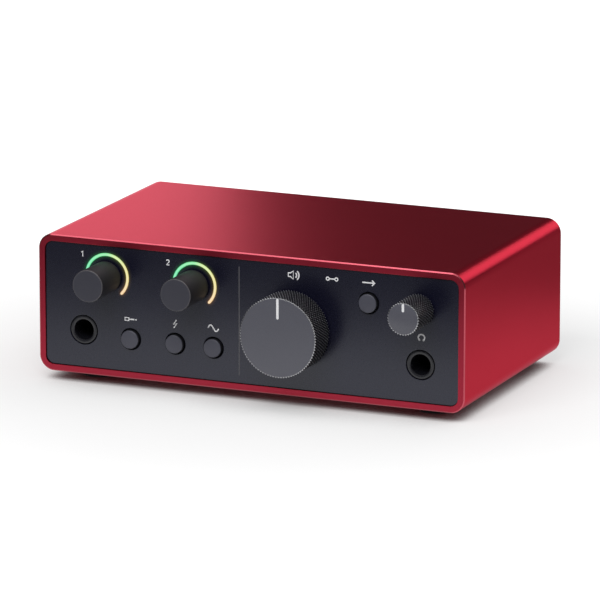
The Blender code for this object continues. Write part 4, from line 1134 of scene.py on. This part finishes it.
def make_jack(node, plane, to_plane, face):
    """A jack socket: the housing behind the panel, the barrel through it, and the bore."""
    axis = socket_axis(node, to_plane)
    bm = bmesh.new()
    seat = face - JACK_SEAT
    barrel = start_housing(bm, node, JACK_HOUSING_HALF, JACK_CORNER, seat, face, axis, JACK_BARREL)
    mouth = [
        (JACK_BARREL, face - JACK_EDGE),
        (JACK_BARREL - JACK_EDGE_BEND, face - JACK_EDGE_BEND),
        (JACK_BARREL - JACK_EDGE, face),
        *((JACK_BORE + wider, face - deeper) for wider, deeper in JACK_LEAD_IN),
        (JACK_BORE, face - JACK_BORE_LENGTH),
    ]
    cap(bm, follow(bm, barrel, axis, mouth))
    outward(bm)
    put_piece(bm, node.replace("_jack", "_socket"), JACK_PLASTIC, "case", plane, [node])


def make_mic_socket():
    """The microphone socket: a housing with a round cavity, and in it a core with three pin holes."""
    axis, face = socket_axis("mic_socket", on_rear, MIC_HOUSING_HALF), REAR_FACE
    bm = bmesh.new()
    seat = face - REAR_THICKNESS - SEAT_GAP
    barrel = start_housing(bm, "mic_socket", MIC_HOUSING_HALF, MIC_CORNER, seat, face, axis, MIC_BARREL)
    mouth = [
        (MIC_BARREL, face - MIC_EDGE),
        (MIC_BARREL - MIC_EDGE, face),
        (MIC_CAVITY + MIC_EDGE, face),
        (MIC_CAVITY, face - MIC_EDGE),
        (MIC_CAVITY, face - MIC_CAVITY_LENGTH),
    ]
    cap(bm, follow(bm, barrel, axis, mouth))
    # The keyway at the top of the cavity
    for vert in bm.verts:
        across = vert.co.xy - Vector(axis)
        in_cavity = abs(across.length - MIC_CAVITY) < 2 * MIC_EDGE
        if in_cavity and across.y > 0 and abs(across.x) < MIC_KEY_WIDTH / 2:
            vert.co.y += MIC_KEY_DEPTH
    outward(bm)
    put_piece(bm, "mic_shell", BLACK_PLASTIC, "case", REAR, ["mic_socket"])

    bm = bmesh.new()
    front, foot = face - MIC_CORE_SETBACK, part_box("mic_core")[0].y - REAR_EDGE
    rim = ring_loop(bm, MIC_CORE - MIC_EDGE, front, axis, FINE)
    cap(bm, follow(bm, rim, axis, [(MIC_CORE, front - MIC_EDGE), (MIC_CORE, foot)]))
    loops = [rim]
    for angle in MIC_PIN_ANGLES:
        pin = Vector(axis) + Matrix.Rotation(math.radians(angle), 2) @ Vector((MIC_PIN_CIRCLE, 0))
        loop = ring_loop(bm, MIC_PIN_HOLE + MIC_PIN_EDGE, front, pin, MIC_PIN_STEPS)
        loops.append(loop)
        path = [(MIC_PIN_HOLE, front - MIC_PIN_EDGE), (MIC_PIN_HOLE, face - MIC_PIN_LENGTH)]
        cap(bm, follow(bm, loop, pin, path))
    fill(bm, *loops)
    outward(bm)
    put_piece(bm, "mic_insert", BLACK_PLASTIC, "case", REAR, ["mic_core"])


def make_usb_shell():
    """The shell of the type-C socket: a flat tube with round sides."""
    node = "usb_shell"
    low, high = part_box(node)
    bm = bmesh.new()
    ends = []
    for y in (high.y, low.y):
        walls = []
        for inset in (0, USB_WALL):
            width, height = high.x - low.x - 2 * inset, high.z - low.z - 2 * inset
            size = (width, height, height / 2 * ROUND_END)
            walls.append(box_loop(bm, *size, y - REAR_EDGE, on_rear(node), USB_STEPS))
        fill(bm, *walls)
        ends.append(walls)
    for first, second in zip(*ends):
        bmesh.ops.bridge_loops(bm, edges=first + second)
    outward(bm)
    put_piece(bm, "usb_sleeve", STEEL, "case", REAR, [node])


# Printed marks

def mesh_of(name, data):
    """The finished mesh of a curve."""
    obj = bpy.data.objects.new(name, data)
    bpy.context.scene.collection.objects.link(obj)
    graph = bpy.context.evaluated_depsgraph_get()
    mesh = bpy.data.meshes.new_from_object(obj.evaluated_get(graph))
    bpy.data.objects.remove(obj)
    return mesh


def stroke_mesh(name, lines, width):
    """Pen strokes as flat ribbons: round tubes along the lines, pressed flat."""
    curve = bpy.data.curves.new(name, "CURVE")
    curve.dimensions = "3D"
    curve.bevel_depth = width / 2
    curve.bevel_resolution = STROKE_STEPS
    curve.use_fill_caps = True
    for points, closed in lines:
        spline = curve.splines.new("POLY")
        spline.points.add(len(points) - 1)
        for point, (x, y) in zip(spline.points, points):
            point.co = (x, y, 0, 1)
        spline.use_cyclic_u = closed
    mesh = mesh_of(name, curve)
    mesh.transform(Matrix.Diagonal((1, 1, 2 * PRINT_HEIGHT / width, 1)))
    return mesh


def arc_points(centre, radius, start, end, steps=16):
    turns = [math.radians(start + (end - start) * step / steps) for step in range(steps + 1)]
    return [(centre[0] + radius * math.cos(a), centre[1] + radius * math.sin(a)) for a in turns]


def pen_line(points, scale=MARK_SCALE, closed=False):
    """One line of a mark, from points in millimetres before the scale."""
    return [(x * MM * scale, y * MM * scale) for x, y in points], closed


def print_mark(name, *lines):
    """Prints the lines of a mark at its place on the front plate."""
    x, rise = MARK_PLACES[name]
    if x in BUTTON_KINDS:
        x = on_front(f"{x}_button")[0]
    place = FRONT @ Matrix.Translation((x, sleeve_low.z + rise, FRONT_FACE))
    put_mesh(stroke_mesh(name, lines, OTHER_STROKES.get(name, STROKE)), name, PRINT, "case", place)


def make_marks():
    one = [(-0.30, 0.48), (0.12, 0.80), (0.12, -0.80)]
    print_mark("number_1", pen_line(one, NUMBER_SCALE))
    two = arc_points((0, 0.36), 0.44, 170, -35) + [(-0.44, -0.80), (0.50, -0.80)]
    print_mark("number_2", pen_line(two, NUMBER_SCALE))
    # A plug, for the instrument input
    print_mark(
        "mark_plug",
        pen_line([(-1.5, -0.35), (-0.5, -0.35), (-0.5, 0.35), (-1.5, 0.35)], closed=True),
        pen_line([(-0.5, 0), (1.0, 0)]),
        pen_line([(1.25, 0), (1.55, 0)]),
    )
    # A spark, for the microphone supply
    print_mark("mark_spark", pen_line([(0.35, 1.0), (-0.45, -0.1), (0.45, 0.1), (-0.35, -1.0)]))
    # One turn of a wave, for the tone switch
    wave = [(x / 10 - 1.4, 0.75 * math.sin(x / 28 * 2 * math.pi)) for x in range(29)]
    print_mark("mark_wave", pen_line(wave))
    # A loudspeaker, for the output level
    horn = [(-1.5, -0.45), (-0.9, -0.45), (-0.2, -1.0), (-0.2, 1.0), (-0.9, 0.45), (-1.5, 0.45)]
    print_mark(
        "mark_speaker",
        pen_line(horn, closed=True),
        pen_line(arc_points((-0.1, 0), 0.75, -50, 50)),
        pen_line(arc_points((-0.1, 0), 1.35, -50, 50)),
    )
    # Two joined dots, for the data link
    print_mark(
        "mark_link",
        pen_line(arc_points((-1.1, 0), 0.38, 0, 360)),
        pen_line(arc_points((1.1, 0), 0.38, 0, 360)),
        pen_line([(-0.7, 0), (0.7, 0)]),
    )
    # An arrow that goes straight through, for direct monitoring
    print_mark(
        "mark_arrow",
        pen_line([(-1.6, 0), (1.5, 0)]),
        pen_line([(0.85, 0.65), (1.55, 0), (0.85, -0.65)]),
    )
    # Headphones
    print_mark(
        "mark_headphones",
        pen_line(arc_points((0, 0), 1.0, -40, 220), HEADPHONES_SCALE),
        *(pen_line([(0.72 * side, -0.30), (0.62 * side, -0.95)], HEADPHONES_SCALE) for side in (-1, 1)),
    )


def make_divider():
    """The line between the inputs and the outputs on the front plate."""
    bm = bmesh.new()
    centre = (DIVIDER_X, sleeve_low.z + (DIVIDER_LOW + DIVIDER_HIGH) / 2)
    size = (DIVIDER_WIDTH, DIVIDER_HIGH - DIVIDER_LOW, DIVIDER_CORNER)
    line = box_loop(bm, *size, FRONT_FACE + PRINT_HEIGHT, centre, DIVIDER_STEPS)
    close_between(bm, line, pull(bm, line, -PRINT_HEIGHT - PRINT_SINK))
    put_piece(bm, "divider_line", LINE, "case", FRONT)


make_sleeve()
make_feet()
make_front_panel()
make_light_rings()
make_gain_knobs()
for kind in ("output", "headphone"):
    make_knurled_knob(kind)
make_buttons()
for jack in FRONT_JACKS:
    make_jack(jack, FRONT, on_front, FRONT_FACE)
for jack in REAR_JACKS:
    make_jack(jack, REAR, on_rear, REAR_FACE)
make_rear_panel()
make_rear_screws()
make_mic_socket()
make_usb_shell()
make_marks()
make_divider()


# Stage, light and camera

def put_stage(bm, name, material):
    mesh = bpy.data.meshes.new(name)
    bm.to_mesh(mesh)
    bm.free()
    mesh.materials.append(material)
    obj = bpy.data.objects.new(name, mesh)
    bpy.context.scene.collection.objects.link(obj)
    return obj


def bare_material(name):
    material = bpy.data.materials.new(name)
    material.use_nodes = True
    material.node_tree.nodes.clear()
    return material


def floor_material():
    """White to the camera, more so away from the lamps, but not in the object's shade."""
    material = bare_material("floor_white")
    tree = material.node_tree
    nodes, links = tree.nodes, tree.links
    place = nodes.new("ShaderNodeTexCoord").outputs["Object"]

    def ease(value, start, end, near, far):
        """Goes smoothly from near to far while a value goes from start to end."""
        blend = nodes.new("ShaderNodeMapRange")
        blend.interpolation_type = "SMOOTHSTEP"
        links.new(value, blend.inputs["Value"])
        for label, level in zip(("From Min", "From Max", "To Min", "To Max"), (start, end, near, far)):
            blend.inputs[label].default_value = level
        return blend.outputs["Result"]

    def distance_from(point):
        distance = nodes.new("ShaderNodeVectorMath")
        distance.operation = "DISTANCE"
        distance.inputs[1].default_value = point
        links.new(place, distance.inputs[0])
        return distance.outputs["Value"]

    def openness(distance, lean=0.0):
        """How open the floor is to the air within a distance, straight up or leaning back."""
        around = nodes.new("ShaderNodeAmbientOcclusion")
        around.samples = SHADE_SAMPLES
        around.inputs["Distance"].default_value = distance
        up = nodes.new("ShaderNodeCombineXYZ")
        up.inputs["Y"].default_value = math.sin(lean)
        up.inputs["Z"].default_value = math.cos(lean)
        links.new(up.outputs[0], around.inputs["Normal"])
        return around.outputs["AO"]

    from_object = distance_from((0, 0, 0))
    lift = ease(from_object, LIFT_START, LIFT_END, LIFT_NEAR, LIFT_FAR)
    around_object = ease(from_object, MIRROR_START, MIRROR_END, MIRROR_NEAR, MIRROR_FAR)
    patch = ease(distance_from(PATCH_CENTRE), PATCH_START, PATCH_END, MIRROR_NEAR, 0.0)
    mirror = math_node(tree, "MAXIMUM", around_object, patch)
    close = ease(openness(SHADE_DISTANCE), SHADE_DARK, SHADE_LIGHT, 0.0, 1.0)
    broad = ease(openness(BROAD_DISTANCE, BROAD_LEAN), BROAD_DARK, BROAD_LIGHT, BROAD_LEAST, 1.0)
    shade = math_node(tree, "MULTIPLY", close, broad)
    # A reflection of the shaded floor stays a little lighter than the floor itself
    part_shade = math_node(tree, "MULTIPLY", shade, 1 - SHADE_IN_MIRROR)
    soft_shade = math_node(tree, "ADD", part_shade, SHADE_IN_MIRROR)
    path = nodes.new("ShaderNodeLightPath").outputs
    seen = math_node(tree, "MAXIMUM", path["Is Camera Ray"], path["Is Transmission Ray"])
    mirror_level = math_node(tree, "MULTIPLY", mirror, soft_shade)
    mirrored = math_node(tree, "MULTIPLY", path["Is Glossy Ray"], mirror_level)
    direct = math_node(tree, "MULTIPLY", seen, math_node(tree, "MULTIPLY", lift, shade))
    glow = nodes.new("ShaderNodeEmission")
    links.new(math_node(tree, "MAXIMUM", direct, mirrored), glow.inputs["Strength"])
    diffuse = nodes.new("ShaderNodeBsdfDiffuse")
    diffuse.inputs["Color"].default_value = (FLOOR_COLOUR, FLOOR_COLOUR, FLOOR_COLOUR, 1)
    both = nodes.new("ShaderNodeAddShader")
    links.new(diffuse.outputs[0], both.inputs[0])
    links.new(glow.outputs[0], both.inputs[1])
    output = nodes.new("ShaderNodeOutputMaterial")
    links.new(both.outputs[0], output.inputs["Surface"])
    return material


def make_floor():
    bm = bmesh.new()
    bmesh.ops.create_grid(bm, x_segments=1, y_segments=1, size=FLOOR_HALF)
    bmesh.ops.translate(bm, verts=bm.verts, vec=(0, 0, -FLOOR_GAP))
    put_stage(bm, "floor", floor_material())


def make_world():
    world = bpy.data.worlds.new("studio")
    world.use_nodes = True
    background = world.node_tree.nodes["Background"]
    background.inputs["Color"].default_value = (1, 1, 1, 1)
    background.inputs["Strength"].default_value = WORLD_LEVEL
    bpy.context.scene.world = world


def add_softbox(name, location, target, width, height, power, lights_matt=True):
    """A softbox, or with lights_matt off one that only shows as a highlight."""
    data = bpy.data.lights.new(name, "AREA")
    data.shape = "RECTANGLE"
    data.size = width
    data.size_y = height
    data.energy = power
    lamp = bpy.data.objects.new(name, data)
    lamp.location = location
    lamp.rotation_euler = (Vector(target) - Vector(location)).to_track_quat("-Z", "Y").to_euler()
    lamp.visible_diffuse = lights_matt
    bpy.context.scene.collection.objects.link(lamp)


def add_card(name, foot, turn, width, height, level):
    """A grey card on the floor that only shows as a dimmer reflection. With no turn it stands along x."""
    bm = bmesh.new()
    bmesh.ops.create_grid(bm, x_segments=1, y_segments=1, size=UNIT_HALF)
    bmesh.ops.scale(bm, verts=bm.verts, vec=(width, height, 1))
    place = Matrix.Translation((*foot, height / 2)) @ Matrix.Rotation(math.radians(turn), 4, "Z")
    bmesh.ops.transform(bm, matrix=place @ UPRIGHT, verts=bm.verts)
    material = bare_material(name)
    nodes = material.node_tree.nodes
    grey = nodes.new("ShaderNodeEmission")
    grey.inputs["Strength"].default_value = level
    output = nodes.new("ShaderNodeOutputMaterial")
    material.node_tree.links.new(grey.outputs[0], output.inputs["Surface"])
    card = put_stage(bm, name, material)
    card.visible_camera = False
    card.visible_diffuse = False
    card.visible_transmission = False
    card.visible_shadow = False


def make_camera():
    azimuth, elevation = math.radians(VIEW_AZIMUTH), math.radians(VIEW_ELEVATION)
    level = math.cos(elevation)
    back = Vector((math.sin(azimuth) * level, -math.cos(azimuth) * level, math.sin(elevation)))
    place = SLEEVE_CENTRE + back * VIEW_DISTANCE
    facing = (-back).to_track_quat("-Z", "Y").to_matrix()
    aim = SLEEVE_CENTRE + facing.col[0] * VIEW_SHIFT_RIGHT + facing.col[1] * VIEW_SHIFT_UP
    turn = (aim - place).to_track_quat("-Z", "Y").to_matrix().to_4x4()
    roll = Matrix.Rotation(math.radians(VIEW_ROLL), 4, "Z")
    data = bpy.data.cameras.new("camera")
    data.sensor_width = VIEW_SENSOR
    data.lens = VIEW_LENS
    data.clip_start, data.clip_end = VIEW_CLIP
    camera = bpy.data.objects.new("camera", data)
    camera.matrix_world = Matrix.Translation(place) @ turn @ roll
    bpy.context.scene.collection.objects.link(camera)
    bpy.context.scene.camera = camera


make_floor()
make_world()
# Lamps: place, aimed point, width, height, power, and whether matt surfaces are lit
add_softbox("overhead", (0.10, 0.08, 0.70), (0.02, 0.02, 0), 1.1, 0.9, 3.9)
add_softbox("edge_light", (-0.28, -0.21, 0.70), (0, -0.03, 0.04), 0.35, 0.35, 0.75, False)
add_softbox("front", (0.02, -0.75, 0.80), (0, -0.03, 0.02), 0.9, 0.5, 8.2)
add_softbox("left_back", (-0.575, 0.59, 0.22), (-0.30, 0, 0.05), 0.54, 0.36, 1.04, False)
add_softbox("right_back", (0.252, 0.62, 0.275), (0.07, 0.02, 0.045), 0.36, 0.28, 0.68, False)
# Cards: foot, turn in degrees, width, height, level
add_card("front_card", (-0.2, FRONT_EDGE - 0.10), 0, 1.2, 0.30, 0.12)
add_card("side_card", (0.135, 0.125), 157, 0.30, 0.05, 0.45)
make_camera()
bpy.context.scene.view_settings.view_transform = "Standard"
